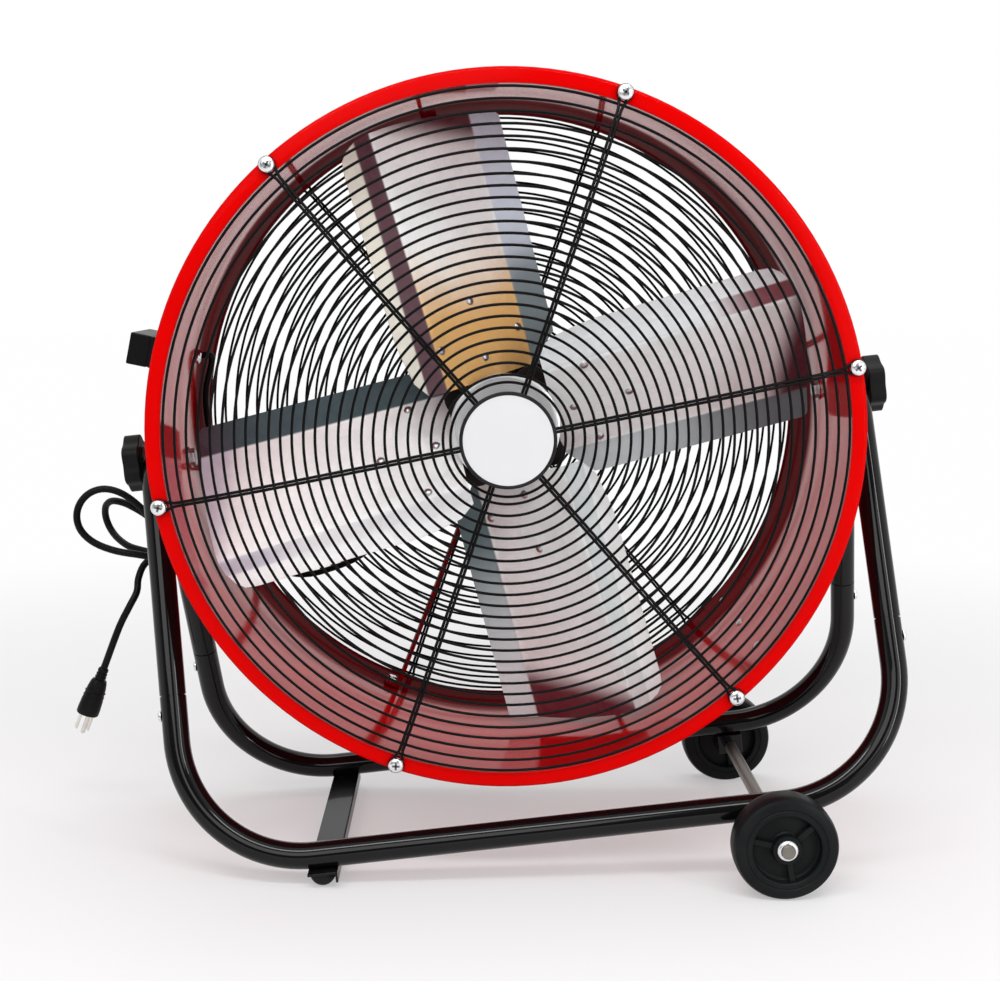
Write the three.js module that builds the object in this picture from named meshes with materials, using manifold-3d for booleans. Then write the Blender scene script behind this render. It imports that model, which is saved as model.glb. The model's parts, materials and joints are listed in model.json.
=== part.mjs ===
// A tilting drum fan on a floor stand of bent tube, with two wheels and two rubber feet.
// Lengths are in millimetres and +Z is up. The drum's own frame has its origin on the tilt
// axis: X runs along that axis towards the wheels, -Y is where the air blows out.
// The stand rests on wheels that are larger than its feet, so the whole fan leans a little.
import * as THREE from 'three';
import { mergeVertices } from 'three/addons/utils/BufferGeometryUtils.js';
import Module from 'manifold-3d';

const wasm = await Module();
wasm.setup();

// Clearances
const seatGap = 0.3;
const pinGap = 0.3;
const cutOverrun = 1;
const weldDepth = 0.6;

// Drum: a rolled sheet with a flange turned out at each end and a hem turned back on it
const drumRadius = 313;
const drumWall = 1.5;
const drumFrontReach = 138.2;
const drumRearReach = 155.9;
const flangeWidth = 15;
const flangeRadius = drumRadius + flangeWidth;
const flangeSheet = 2;
const hemDepth = 6;
const drumSegments = 48;
const leadHole = 4.2;

// Guards: concentric wires under six flat spokes, screwed to the flanges
const wireRadius = 1.75;
const firstRingRadius = 51.4;
const secondRingRadius = 58.1;
const thirdRingRadius = 68.7;
const rimRingInset = 2.7;
const ringSpan = drumRadius - rimRingInset - thirdRingRadius;
const innerRingPitchShare = 0.0427566;
const innerRingCount = 18;
const outerRingPitchShare = 0.0455298;
const outerRingCount = 6;
const guardCrown = 17.5;
const guardEdgeStand = 2.8;
const crownPower = 6;
const arcsPerSpoke = 2;
const spokeCount = 6;
const firstSpokeAngle = 5.15;
const spokeWidth = 7;
const spokeThickness = 3.4;
const centrePlateRadius = 34;
const centrePlateThickness = 2;
const eyeletRadius = 8.5;
const boltInset = 6.4;
const boltCircle = flangeRadius - boltInset;
const badgeRadius = 43.6;
const badgeThickness = 4.4;
const badgeRim = 3;
const badgeRimRise = 0.8;

// Guard screws and their nuts
const guardScrewShank = 2.5;
const guardScrewHead = 7.2;
const guardScrewHeadHeight = 4;
const guardNutRadius = 4.6;
const guardNutHeight = 3.5;

// Blades: four folded sheets on a pressed spider
const bladeCount = 4;
const firstBladeAngle = 9.6;
const bladePitch = 38;
const bladeSheet = 1.6;
const bladeTipGap = 10;
const bladeTipRadius = drumRadius - bladeTipGap;
const bladeRootRadius = 50;
const bladeMidDepth = -30;
const leadEdgeRoot = 78;
const leadEdgeTip = 80;
const lipFoldRoot = 62;
const lipFoldTip = 64;
const leadFoldRoot = 43;
const leadFoldTip = 48;
const trailFoldRoot = 43;
const trailFoldTip = 48;
const trailEdgeRoot = 70;
const trailEdgeTip = 76;
const leadEdgeRise = 1.5;
const lipFoldRise = 6.5;
const trailEdgeRise = 2.6;
const rivetShank = 2.2;
const rivetHead = 4;
const rivetHeadHeight = 1.4;
const rivetInnerRadius = 69.8;
const rivetOuterRadius = 125.5;
const rivetSideRadius = 88;
const rivetSideSpread = 38.4;

// Spider, cap and shaft
const spiderPlate = 4;
const spiderPlateRadius = 42;
const spiderLobeRadius = 66;
const spiderArmThickness = 3.5;
const spiderArmRoot = 30;
const spiderArmRootSpread = 16;
const spiderArmSpread = 42;
const spiderArmTip = 136;
const spiderArmTipSpread = 12;
const spiderBossRadius = 20;
const spiderBossFront = -49.2;
const spiderBossRear = -8;
const hubCapRadius = 53;
const hubCapThickness = 4.5;
const hubCapLip = 3;
const shaftRadius = 8;
const shaftFront = -62;
const shaftRear = 74;

// Motor and the frame that holds it in the drum
const motorRadius = 68;
const motorFront = 50;
const motorRear = 140;
const motorFrontBevel = 8;
const endBellRadius = 62;
const endBellLength = 12;
const motorBandThickness = 3;
const motorBandFront = 80;
const motorBandRear = 110;
const strutWidth = 26;
const strutThickness = 4;
const strutAngles = [242.84, 284.84, 98.84];

// Tilt bolts, spacers and knobs
const boltRadius = 5;
const boltHeadRadius = 9;
const boltHeadHeight = 5.2;
const spacerRadius = 11;
const knobRadius = 28;
const knobThickness = 18;
const knobLobes = 6;
const knobLobeDepth = 4;
const boltEndInKnob = 5;

// Stand tubes
const tubeRadius = 12.5;
const tubeWall = 1.6;
const archClearance = 15.5;
const archReach = flangeRadius + archClearance;
const archBend = 38;
const legLean = 16.6;
const legSplay = 0.5;
const runClearance = 42.5;
const runDrop = flangeRadius + runClearance;
const lowerBend = 120;
const jointAboveBend = 35.7;
const jointDrop = runDrop - lowerBend - jointAboveBend;
const spigotLength = 35;
const spigotCollar = 12;
const spigotGap = 0.7;
const jointScrewDrop = 18;
const jointScrewShank = 2.5;
const jointScrewHead = 5.5;
const jointScrewHeadHeight = 3;
const jointScrewLength = 9;

// Foot bar and feet
const footBarInset = 129.5;
const footBarPlace = archReach - footBarInset;
const footBarWidth = 28;
const footBarSheet = 2.2;
const footBarFlange = 8;
const footBarOverhang = 4;
const footRadius = 12.6;
const footCollar = 1.4;

// Axle, brackets and wheels
const axleInset = 131.3;
const axlePlace = archReach - axleInset;
const axleBelowRun = 26.15;
const axleDrop = runDrop + axleBelowRun;
const axleRadius = 6.5;
const axleStub = 6;
const axleCollarRadius = 9;
const bracketWidth = 26;
const bracketThickness = 14;
const bracketBelowAxle = 7.4;
const wheelRadius = 48.7;
const wheelWidth = 32;
const wheelGap = 6.7;
const wheelShoulder = 4;
const wheelRecessRadius = 31.5;
const wheelWeb = 12;
const wheelHubRadius = 13;
const wheelRibWidth = 7;
const wheelRibInset = 2.5;
const wheelRibAngles = [160, 35, -85];
const wheelSegments = 20;
const pushNutRadius = 10;
const pushNutThickness = 3;

// Switch box, its screw, its knob and the strain relief under it
const boxAngle = 162.2;
const boxHeight = 58;
const boxThickness = 31;
const boxFront = -15;
const boxRear = 75;
const boxSheet = 2;
const boxPostRadius = 6;
const boxScrewPlace = 30;
const boxScrewShank = 2.5;
const boxScrewHead = 6;
const boxScrewHeadHeight = 3;
const boxScrewLength = 14;
const switchHeight = 30;
const switchKnobRadius = 13;
const switchKnobLength = 14;
const switchPointerWidth = 5;
const switchPointerRise = 2.5;
const switchStemRadius = 3.7;
const switchStemLength = 6;
const reliefHeight = 20;
const reliefPlace = 40;
const reliefRootRadius = 7;
const reliefTipRadius = 5;
const reliefLength = 26;
const reliefStemRadius = 5.5;

// Cord, and the short lead from the motor to the switch box
const cordRadius = 3.75;
const motorLeadRadius = 3.25;
const leadFromMotorAngle = 219.5;
const leadFromMotorDepth = 126;
const leadWallGap = 3.5;
const leadPortPlace = 62;

// The route of the motor's lead from the motor's side to the drum's wall
const motorLeadAngles = [219.5, 219.6, 219.2, 215.8, 211.4];
const motorLeadRadiusShares = [0.294, 0.4313, 0.665, 0.8, 0.915];
const motorLeadDepths = [127, 129, 133, 137, 140];
const motorLeadWallAngles = [204, 189.5, 177, 169];
const motorLeadWallDepths = [138, 116, 92, 70];

// The cord's route from the strain relief to its hank, and from the hank to the plug, each
// place given from the middle of the left arch's crown
const cordLeadRoute = [[4.5, 43.5, 38], [-1.5, 52, 10], [-7.5, 61, -22], [-14.5, 71, -58]];
const cordTailRoute = [
  [-40.8, 103.4, -104.1], [-47, 104.1, -108.7], [-50.7, 103, -116], [-54, 96, -128],
  [-59, 85, -142], [-67.5, 77, -157], [-80.5, 75, -177],
];
const plugStart = [-102.5, 75, -219];
const plugEnd = [-138.5, 75, -288];

// The hank: an unbroken tube that passes its waist six times, with lobes on both sides
const hankWaist = [-18.5, 98, -108];
const hankSeenWay = [-0.80, -0.05, 0.60];
const hankHiddenWay = [0.30, 0.86, -0.41];
const hankLobes = 5;
const hankStepsPerLobe = 12;
const hankSides = 6;
const hankBendLength = 30;
const hankWaistSpread = 6.5;
const hankLobeLengths = [104, 114, 104, 94, 104];
const hankLobeWidths = [24, 29, 24, 23, 24];
const hankLobeTurns = [0, 0, 0, 55, 0];
const hankLobeLifts = [0, 0, 0, -26, 0];
const hankLevels = [8.4, 8.4, 0, 0, -8.4, -12.6];
const hankRampShare = 0.45;
const tieGap = 1.3;
const tieThickness = 2;
const tieWidth = 5;
const tieLegGap = 0.8;
const tieStrapRadius = 2.2;

// Plug
const plugReliefLength = 13;
const plugReliefRadius = 5.5;
const plugNeckRadius = 8;
const plugBodyRadius = 12;
const plugBodyLength = 40;
const prongLength = 17.5;
const prongWidth = 6.3;
const prongThickness = 1.5;
const prongSpread = 6.35;
const groundPinRadius = 2.4;
const groundPinLength = 20;
const groundPinPlace = 6;

// Materials
const paint = (color, roughness, metalness) => new THREE.MeshStandardMaterial({ color, roughness, metalness });
const redEnamel = () => paint(0xc9100f, 0.32, 0.2);
const blackEnamel = () => paint(0x101012, 0.28, 0.2);
const wireEnamel = () => paint(0x161618, 0.4, 0.2);
const bladeMetal = () => paint(0xd9d6cc, 0.35, 0.6);
const motorPaint = () => paint(0x232427, 0.5, 0.3);
const steel = () => paint(0xb9babd, 0.3, 1);
const blackScrew = () => paint(0x1b1b1d, 0.45, 0.7);
const blackPlastic = () => paint(0x151517, 0.5, 0);
const blackRubber = () => paint(0x111112, 0.8, 0);
const whiteFace = () => paint(0xf1f1ef, 0.5, 0);

// Small helpers
const radians = THREE.MathUtils.degToRad;
const vector = (x, y, z) => new THREE.Vector3(x, y, z);
const along = (from, way, length) => from.clone().addScaledVector(way, length);
const around = (angle, radius, depth) => vector(
  radius * Math.cos(radians(angle)), depth, radius * Math.sin(radians(angle)));
const spread = (count, first) => Array.from({ length: count }, (_, index) => first + index * 360 / count);

// Merges equal corners, drops triangles without area and turns the faces outwards.
function closed(geometry) {
  const plain = geometry.index ? geometry.toNonIndexed() : geometry.clone();
  plain.deleteAttribute('normal');
  plain.deleteAttribute('uv');
  const merged = mergeVertices(plain);
  const place = merged.attributes.position;
  const corner = [vector(0, 0, 0), vector(0, 0, 0), vector(0, 0, 0)];
  const kept = [];
  let volume = 0;
  for (let face = 0; face < merged.index.count; face += 3) {
    const ids = [0, 1, 2].map((step) => merged.index.getX(face + step));
    if (ids[0] === ids[1] || ids[1] === ids[2] || ids[2] === ids[0]) continue;
    ids.forEach((id, step) => corner[step].fromBufferAttribute(place, id));
    volume += corner[0].dot(corner[1].clone().cross(corner[2]));
    kept.push(ids);
  }
  const turned = volume < 0 ? kept.map(([a, b, c]) => [a, c, b]) : kept;
  merged.setIndex(turned.flat());
  return merged;
}

function solidOf(geometry) {
  const shape = closed(geometry);
  const numbers = { numProp: 3, vertProperties: shape.attributes.position.array, triVerts: new Uint32Array(shape.index.array) };
  return new wasm.Manifold(new wasm.Mesh(numbers));
}

function geometryOf(solid) {
  const mesh = solid.getMesh();
  const geometry = new THREE.BufferGeometry();
  geometry.setAttribute('position', new THREE.BufferAttribute(new Float32Array(mesh.vertProperties), 3));
  geometry.setIndex(Array.from(mesh.triVerts));
  return geometry;
}

const join = (first, ...others) => geometryOf(
  others.reduce((sum, next) => sum.add(solidOf(next)), solidOf(first)));
const cut = (first, ...tools) => geometryOf(
  tools.reduce((rest, tool) => rest.subtract(solidOf(tool)), solidOf(first)));
const common = (first, second) => geometryOf(solidOf(first).intersect(solidOf(second)));

// A closed shape turned about Y from [radius, depth] pairs. Pairs off the axis close on themselves.
function turned(pairs, segments, start = 0) {
  const profile = pairs.map(([radius, depth]) => new THREE.Vector2(radius, depth));
  if (pairs[0][0] > 0) profile.push(profile[0].clone());
  return new THREE.LatheGeometry(profile, segments, radians(start));
}

// A round rod between two points, tapered where a second radius is given.
function rod(radius, from, to, sides, endRadius = radius) {
  const way = to.clone().sub(from);
  const geometry = new THREE.CylinderGeometry(endRadius, radius, way.length(), sides);
  const turn = new THREE.Quaternion().setFromUnitVectors(vector(0, 1, 0), way.normalize());
  geometry.applyQuaternion(turn);
  return geometry.translate(...from.clone().add(to).multiplyScalar(1 / 2).toArray());
}

function block(from, to) {
  const size = to.clone().sub(from);
  const geometry = new THREE.BoxGeometry(size.x, size.y, size.z);
  return geometry.translate(...from.clone().add(to).multiplyScalar(1 / 2).toArray());
}

const circle = (radius, sides) => Array.from({ length: sides }, (_, index) => new THREE.Vector2(
  radius * Math.cos(2 * Math.PI * index / sides), radius * Math.sin(2 * Math.PI * index / sides)));

function outline(points, hole) {
  const shape = new THREE.Shape(points);
  if (hole) shape.holes.push(new THREE.Path(hole));
  return shape;
}

const extruded = (shape, depth) => new THREE.ExtrudeGeometry(shape, { depth, bevelEnabled: false, steps: 1 });

// A route through given points, one step of the swept section for each.
class Route extends THREE.Curve {
  constructor(points) {
    super();
    this.points = points;
  }

  getPoint(share, target = vector(0, 0, 0)) {
    const place = share * (this.points.length - 1);
    const index = Math.min(Math.floor(place), this.points.length - 2);
    return target.lerpVectors(this.points[index], this.points[index + 1], place - index);
  }

  getPointAt(share, target) {
    return this.getPoint(share, target);
  }

  getTangent(share, target = vector(0, 0, 0)) {
    const last = this.points.length - 1;
    const index = Math.round(share * last);
    const here = this.points[index];
    target.set(0, 0, 0);
    if (index > 0) target.add(here.clone().sub(this.points[index - 1]).normalize());
    if (index < last) target.add(this.points[index + 1].clone().sub(here).normalize());
    return target.normalize();
  }

  getTangentAt(share, target) {
    return this.getTangent(share, target);
  }
}

const swept = (shape, points) => new THREE.ExtrudeGeometry(
  shape, { steps: points.length - 1, extrudePath: new Route(points) });
const pipe = (from, to, outer, inner, sides) => swept(outline(circle(outer, sides), circle(inner, sides)), [from, to]);

// A line of straight runs with a bend of the given radius at each inner corner.
function bentRoute(corners, bendRadius, bendSteps) {
  const points = [corners[0]];
  for (let index = 1; index < corners.length - 1; index += 1) {
    const back = corners[index - 1].clone().sub(corners[index]).normalize();
    const ahead = corners[index + 1].clone().sub(corners[index]).normalize();
    const half = back.angleTo(ahead) / 2;
    const centre = along(corners[index], back.clone().add(ahead).normalize(), bendRadius / Math.sin(half));
    const arm = along(corners[index], back, bendRadius / Math.tan(half)).sub(centre);
    const axis = ahead.clone().cross(back).normalize();
    for (let step = 0; step <= bendSteps; step += 1) {
      const turn = (Math.PI - 2 * half) * step / bendSteps;
      points.push(arm.clone().applyAxisAngle(axis, turn).add(centre));
    }
  }
  points.push(corners[corners.length - 1]);
  return points;
}

// A smooth curve through chosen points, cut into steps of about the given length. Its first
// and last stretches stay straight.
function smoothRoute(points, stepLength) {
  const curve = new THREE.CatmullRomCurve3(points, false, 'centripetal');
  const spans = points.length - 1;
  const route = [points[0]];
  for (let span = 1; span < spans - 1; span += 1) {
    const steps = Math.ceil(points[span].distanceTo(points[span + 1]) / stepLength);
    for (let step = 0; step < steps; step += 1) route.push(curve.getPoint((span + step / steps) / spans));
  }
  return [...route, points[spans - 1], points[spans]];
}

const cordSides = 8;
const tube = (radius, points) => swept(outline(circle(radius, cordSides)), smoothRoute(points, radius * 2 * 2.5));

// The fan's groups. Everything stands inside the leaning group.
const fan = new THREE.Group();
const leaning = new THREE.Group();
const head = new THREE.Group();
const rotor = new THREE.Group();
const switchSeat = new THREE.Group();
fan.add(leaning);
leaning.add(head);
head.add(rotor, switchSeat);
const cordPieces = [];

function piece(name, geometry, material, group, place = vector(0, 0, 0)) {
  const shape = closed(geometry);
  shape.computeVertexNormals();
  const mesh = new THREE.Mesh(shape, material);
  mesh.name = name;
  mesh.position.copy(place);
  group.add(mesh);
  return mesh;
}

// Drum shell
const flangeFaces = { front: { side: -1, reach: drumFrontReach }, rear: { side: 1, reach: drumRearReach } };
const guardScrewHole = guardScrewShank + pinGap;
const screwAngles = spread(spokeCount, firstSpokeAngle);
const boxSeatRadius = drumRadius + drumWall + seatGap * 2;
const boltPort = boltRadius + pinGap;

function drumShell() {
  const outer = drumRadius + drumWall;
  const hemInner = flangeRadius - drumWall;
  const front = -drumFrontReach;
  const rear = drumRearReach;
  const shell = turned([
    [drumRadius, front], [flangeRadius, front], [flangeRadius, front + hemDepth],
    [hemInner, front + hemDepth], [hemInner, front + flangeSheet], [outer, front + flangeSheet],
    [outer, rear - flangeSheet], [hemInner, rear - flangeSheet], [hemInner, rear - hemDepth],
    [flangeRadius, rear - hemDepth], [flangeRadius, rear], [drumRadius, rear],
  ], drumSegments);
  const screwHoles = Object.values(flangeFaces).flatMap(({ side, reach }) => screwAngles.map((angle) => rod(
    guardScrewHole,
    around(angle, boltCircle, side * (reach + cutOverrun)),
    around(angle, boltCircle, side * (reach - flangeSheet - cutOverrun)), 6)));
  const wallPort = (angle, depth, radius) => rod(
    radius, around(angle, drumRadius - cutOverrun * 2, depth), around(angle, outer + cutOverrun, depth), 8);
  return cut(
    shell, ...screwHoles,
    wallPort(0, 0, boltPort), wallPort(180, 0, boltPort),
    wallPort(boxAngle, boxScrewPlace, boxScrewShank + pinGap),
    wallPort(boxAngle, leadPortPlace, leadHole));
}
piece('drum_shell', drumShell(), redEnamel(), head);

// Guards
const ringRadii = [firstRingRadius, secondRingRadius];
const innerRingPitch = ringSpan * innerRingPitchShare;
const outerRingPitch = ringSpan * outerRingPitchShare;
for (let ring = 0; ring < innerRingCount; ring += 1) ringRadii.push(thirdRingRadius + ring * innerRingPitch);
const lastInnerRing = ringRadii[ringRadii.length - 1];
for (let ring = 1; ring <= outerRingCount; ring += 1) ringRadii.push(lastInnerRing + ring * outerRingPitch);
const edgeRing = ringRadii[ringRadii.length - 1];
const wireStand = (radius) => guardEdgeStand + guardCrown * (1 - (radius / edgeRing) ** crownPower);
const spokeTopStand = (radius) => wireStand(radius) + wireRadius - weldDepth + spokeThickness;
const spokeBackStand = (radius) => wireStand(radius) - wireRadius / 2 - weldDepth;
const eyeletTop = seatGap + spokeThickness;
const plateTop = spokeTopStand(0);
const arcSteps = Array.from({ length: arcsPerSpoke - 1 }, (_, step) => (step + 1) * 360 / spokeCount / arcsPerSpoke);

// The ring's three-cornered section, and the spoke's side outline, as [radius, stand] pairs
function ringSection(radius) {
  const halfWidth = wireRadius * Math.cos(Math.PI / 6);
  const low = wireStand(radius) - wireRadius / 2;
  return [[radius, wireStand(radius) + wireRadius], [radius - halfWidth, low], [radius + halfWidth, low]];
}

function spokeOutline() {
  const spokeInner = centrePlateRadius - eyeletRadius;
  const stations = [spokeInner, ...ringRadii.filter((_, index) => index % 3 === 0), edgeRing];
  const shoulder = boltCircle - eyeletRadius + cutOverrun;
  const back = stations.map((radius) => [radius, spokeBackStand(radius)]);
  const top = stations.map((radius) => [radius, spokeTopStand(radius)]);
  back.push([shoulder, seatGap], [boltCircle, seatGap]);
  top.push([shoulder, eyeletTop], [boltCircle, eyeletTop]);
  return back.concat(top.reverse());
}

// The spokes and the rings' arcs as a single skin: each arc starts and ends in a hole of the
// same section in a spoke's side face.
function grille(out) {
  const flat = (pairs) => {
    const points = pairs.map(([radius, stand]) => new THREE.Vector2(radius, out(stand)));
    return THREE.ShapeUtils.isClockWise(points) ? points.reverse() : points;
  };
  const contour = flat(spokeOutline());
  const sections = ringRadii.map((radius) => flat(ringSection(radius)));
  const corners = [contour, ...sections].flat();
  const upright = (ids) => (THREE.ShapeUtils.isClockWise(ids.map((id) => corners[id])) ? [...ids].reverse() : ids);
  const sideFaces = THREE.ShapeUtils.triangulateShape(contour, sections).map(upright);
  const skin = [];
  const place = (point, angle, across) => around(angle, point.x, point.y).add(around(angle + 90, across, 0));
  const quad = (a, b, c, d) => skin.push(a, b, c, a, c, d);
  const wall = (points, near, far) => points.forEach((point, index) => {
    const next = points[(index + 1) % points.length];
    quad(near(point), near(next), far(next), far(point));
  });
  screwAngles.forEach((angle) => {
    const low = (point) => place(point, angle, -spokeWidth / 2);
    const high = (point) => place(point, angle, spokeWidth / 2);
    sideFaces.forEach((ids) => {
      skin.push(...ids.map((id) => high(corners[id])));
      skin.push(...[...ids].reverse().map((id) => low(corners[id])));
    });
    wall(contour, low, high);
    const arcs = arcSteps.map((turn) => (point) => place(point, angle + turn, 0));
    const stops = [high, ...arcs, (point) => place(point, angle + 360 / spokeCount, -spokeWidth / 2)];
    sections.forEach((section) => {
      for (let stop = 1; stop < stops.length; stop += 1) wall(section, stops[stop - 1], stops[stop]);
    });
  });
  return new THREE.BufferGeometry().setFromPoints(skin);
}

function guard(side, reach) {
  const out = (stand) => side * (reach + stand);
  const eyelets = screwAngles.map((angle) => rod(
    eyeletRadius, around(angle, boltCircle, out(seatGap)), around(angle, boltCircle, out(eyeletTop)), 10));
  const eyeletHoles = screwAngles.map((angle) => rod(
    guardScrewHole, around(angle, boltCircle, out(seatGap - cutOverrun)),
    around(angle, boltCircle, out(eyeletTop + cutOverrun)), 6));
  const plate = rod(
    centrePlateRadius, vector(0, out(plateTop - centrePlateThickness), 0), vector(0, out(plateTop), 0), 18);
  return cut(join(grille(out), plate, ...eyelets), ...eyeletHoles);
}

// A pan-head screw through the eyelet and the flange, with its nut tightened on it
function guardScrew(side) {
  const headSeat = eyeletTop + seatGap;
  const nutSeat = -flangeSheet - seatGap;
  return turned([
    [0, side * (headSeat + guardScrewHeadHeight)], [guardScrewHead, side * (headSeat + guardScrewHeadHeight / 2)],
    [guardScrewHead, side * headSeat], [guardScrewShank, side * headSeat],
    [guardScrewShank, side * nutSeat], [guardNutRadius, side * nutSeat],
    [guardNutRadius, side * (nutSeat - guardNutHeight)], [0, side * (nutSeat - guardNutHeight)],
  ], 6);
}

Object.entries(flangeFaces).forEach(([end, { side, reach }]) => {
  piece(`${end}_guard`, guard(side, reach), wireEnamel(), head);
  screwAngles.forEach((angle, index) => piece(
    `${end}_guard_screw_${index + 1}`, guardScrew(side), blackScrew(), head,
    around(angle, boltCircle, side * reach)));
});

const badgeBack = -(drumFrontReach + plateTop + seatGap);
piece('hub_badge', turned([
  [0, badgeBack], [badgeRadius, badgeBack], [badgeRadius, badgeBack - badgeThickness],
  [badgeRadius - badgeRim, badgeBack - badgeThickness],
  [badgeRadius - badgeRim, badgeBack - badgeThickness + badgeRimRise], [0, badgeBack - badgeThickness + badgeRimRise],
], 24), whiteFace(), head);

// Blades. In a blade's frame X runs across the blade, Y is depth and Z points out from the hub.
const pitchRise = Math.tan(radians(bladePitch));
const sheetDepth = bladeSheet / Math.cos(radians(bladePitch));
const faceDepth = (across) => bladeMidDepth + across * pitchRise;
const foldLines = [
  { root: -leadEdgeRoot, tip: -leadEdgeTip, from: [-leadFoldRoot, -leadFoldTip], rise: leadEdgeRise },
  { root: -lipFoldRoot, tip: -lipFoldTip, from: [-leadFoldRoot, -leadFoldTip], rise: lipFoldRise },
  { root: -leadFoldRoot, tip: -leadFoldTip, from: [-leadFoldRoot, -leadFoldTip], rise: 0 },
  { root: trailFoldRoot, tip: trailFoldTip, from: [trailFoldRoot, trailFoldTip], rise: 0 },
  { root: trailEdgeRoot, tip: trailEdgeTip, from: [trailFoldRoot, trailFoldTip], rise: trailEdgeRise },
];
// The blade's cut edge, as shares of its leading reach and its tip radius for the leading
// half and of its trailing reach for the other half
const leadRootShares = [[-0.7625, 0.165], [-0.894, 0.2073], [-0.954, 0.2937], [-0.978, 0.3465], [-1.1, 0.363]];
const leadTipShares = [[-1.1, 0.885], [-1.001, 0.8977], [-0.981, 0.9274], [-0.906, 0.9548], [-0.775, 0.9789]];
const trailRootShares = [[1.08, 0.273], [0.566, 0.1584]];

function foldedSheet() {
  const beyond = bladeRootRadius / 5;
  const span = bladeTipRadius - bladeRootRadius;
  const rows = [bladeRootRadius - beyond, bladeTipRadius + beyond];
  const corners = [0, sheetDepth].flatMap((thickness) => rows.flatMap((radius) => foldLines.map((fold) => {
    const share = (radius - bladeRootRadius) / span;
    const across = fold.root + (fold.tip - fold.root) * share;
    const anchor = fold.from[0] + (fold.from[1] - fold.from[0]) * share;
    return [across, faceDepth(anchor) + fold.rise + thickness, radius];
  })));
  const count = foldLines.length;
  const id = (layer, row, column) => (layer * rows.length + row) * count + column;
  const faces = [];
  const quad = (a, b, c, d) => faces.push(a, b, c, a, c, d);
  for (let column = 0; column < count - 1; column += 1) {
    quad(id(0, 0, column), id(0, 0, column + 1), id(0, 1, column + 1), id(0, 1, column));
    quad(id(1, 0, column), id(1, 1, column), id(1, 1, column + 1), id(1, 0, column + 1));
    quad(id(0, 0, column), id(1, 0, column), id(1, 0, column + 1), id(0, 0, column + 1));
    quad(id(0, 1, column), id(0, 1, column + 1), id(1, 1, column + 1), id(1, 1, column));
  }
  quad(id(0, 0, 0), id(0, 1, 0), id(1, 1, 0), id(1, 0, 0));
  quad(id(0, 0, count - 1), id(1, 0, count - 1), id(1, 1, count - 1), id(0, 1, count - 1));
  const geometry = new THREE.BufferGeometry();
  geometry.setAttribute('position', new THREE.Float32BufferAttribute(corners.flat(), 3));
  geometry.setIndex(faces);
  return geometry;
}

// Turns an outline drawn across and outwards into a prism that runs along the depth.
const prism = (points, near, far) => extruded(outline(points), far - near).rotateX(Math.PI / 2).translate(0, far, 0);

function bladeEdge() {
  const scaled = (shares, reach) => shares.map(([across, out]) => new THREE.Vector2(
    across * reach, out * bladeTipRadius));
  const lead = scaled([...leadRootShares, ...leadTipShares], leadEdgeTip);
  const trail = scaled(trailRootShares, trailEdgeTip);
  const start = Math.atan2(lead[lead.length - 1].x, lead[lead.length - 1].y);
  const end = Math.asin(trail[0].x / bladeTipRadius);
  const arcSteps = 7;
  const arc = Array.from({ length: arcSteps }, (_, step) => start + (end - start) * (step + 1) / arcSteps);
  const tip = arc.map((angle) => new THREE.Vector2(
    bladeTipRadius * Math.sin(angle), bladeTipRadius * Math.cos(angle)));
  return [...lead, ...tip, ...trail];
}

const rivetPlaces = [
  [0, rivetInnerRadius], [0, rivetOuterRadius],
  [-rivetSideSpread, rivetSideRadius], [rivetSideSpread, rivetSideRadius],
];
const faceNormal = vector(Math.sin(radians(bladePitch)), -Math.cos(radians(bladePitch)), 0);
const armFaceOffset = bladeSheet + seatGap;

function rivet([across, out]) {
  const foot = vector(across, faceDepth(across), out);
  const head = rod(
    rivetHead, along(foot, faceNormal, -bladeSheet / 2), along(foot, faceNormal, rivetHeadHeight), 6, rivetHead / 2);
  const shank = rod(
    rivetShank, foot, along(foot, faceNormal, -(armFaceOffset + spiderArmThickness + rivetHeadHeight)), 6);
  return [head, shank];
}

function blade() {
  const depthReach = leadEdgeTip * 2;
  const sheet = common(foldedSheet(), prism(bladeEdge(), bladeMidDepth - depthReach, bladeMidDepth + depthReach));
  return join(sheet, ...rivetPlaces.flatMap(rivet));
}

const bladeTurn = (angle) => radians(90 - angle);
const bladeAngles = spread(bladeCount, firstBladeAngle);
bladeAngles.forEach((angle, index) => {
  piece(`blade_${index + 1}`, blade(), bladeMetal(), rotor).rotation.y = bladeTurn(angle);
});

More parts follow.
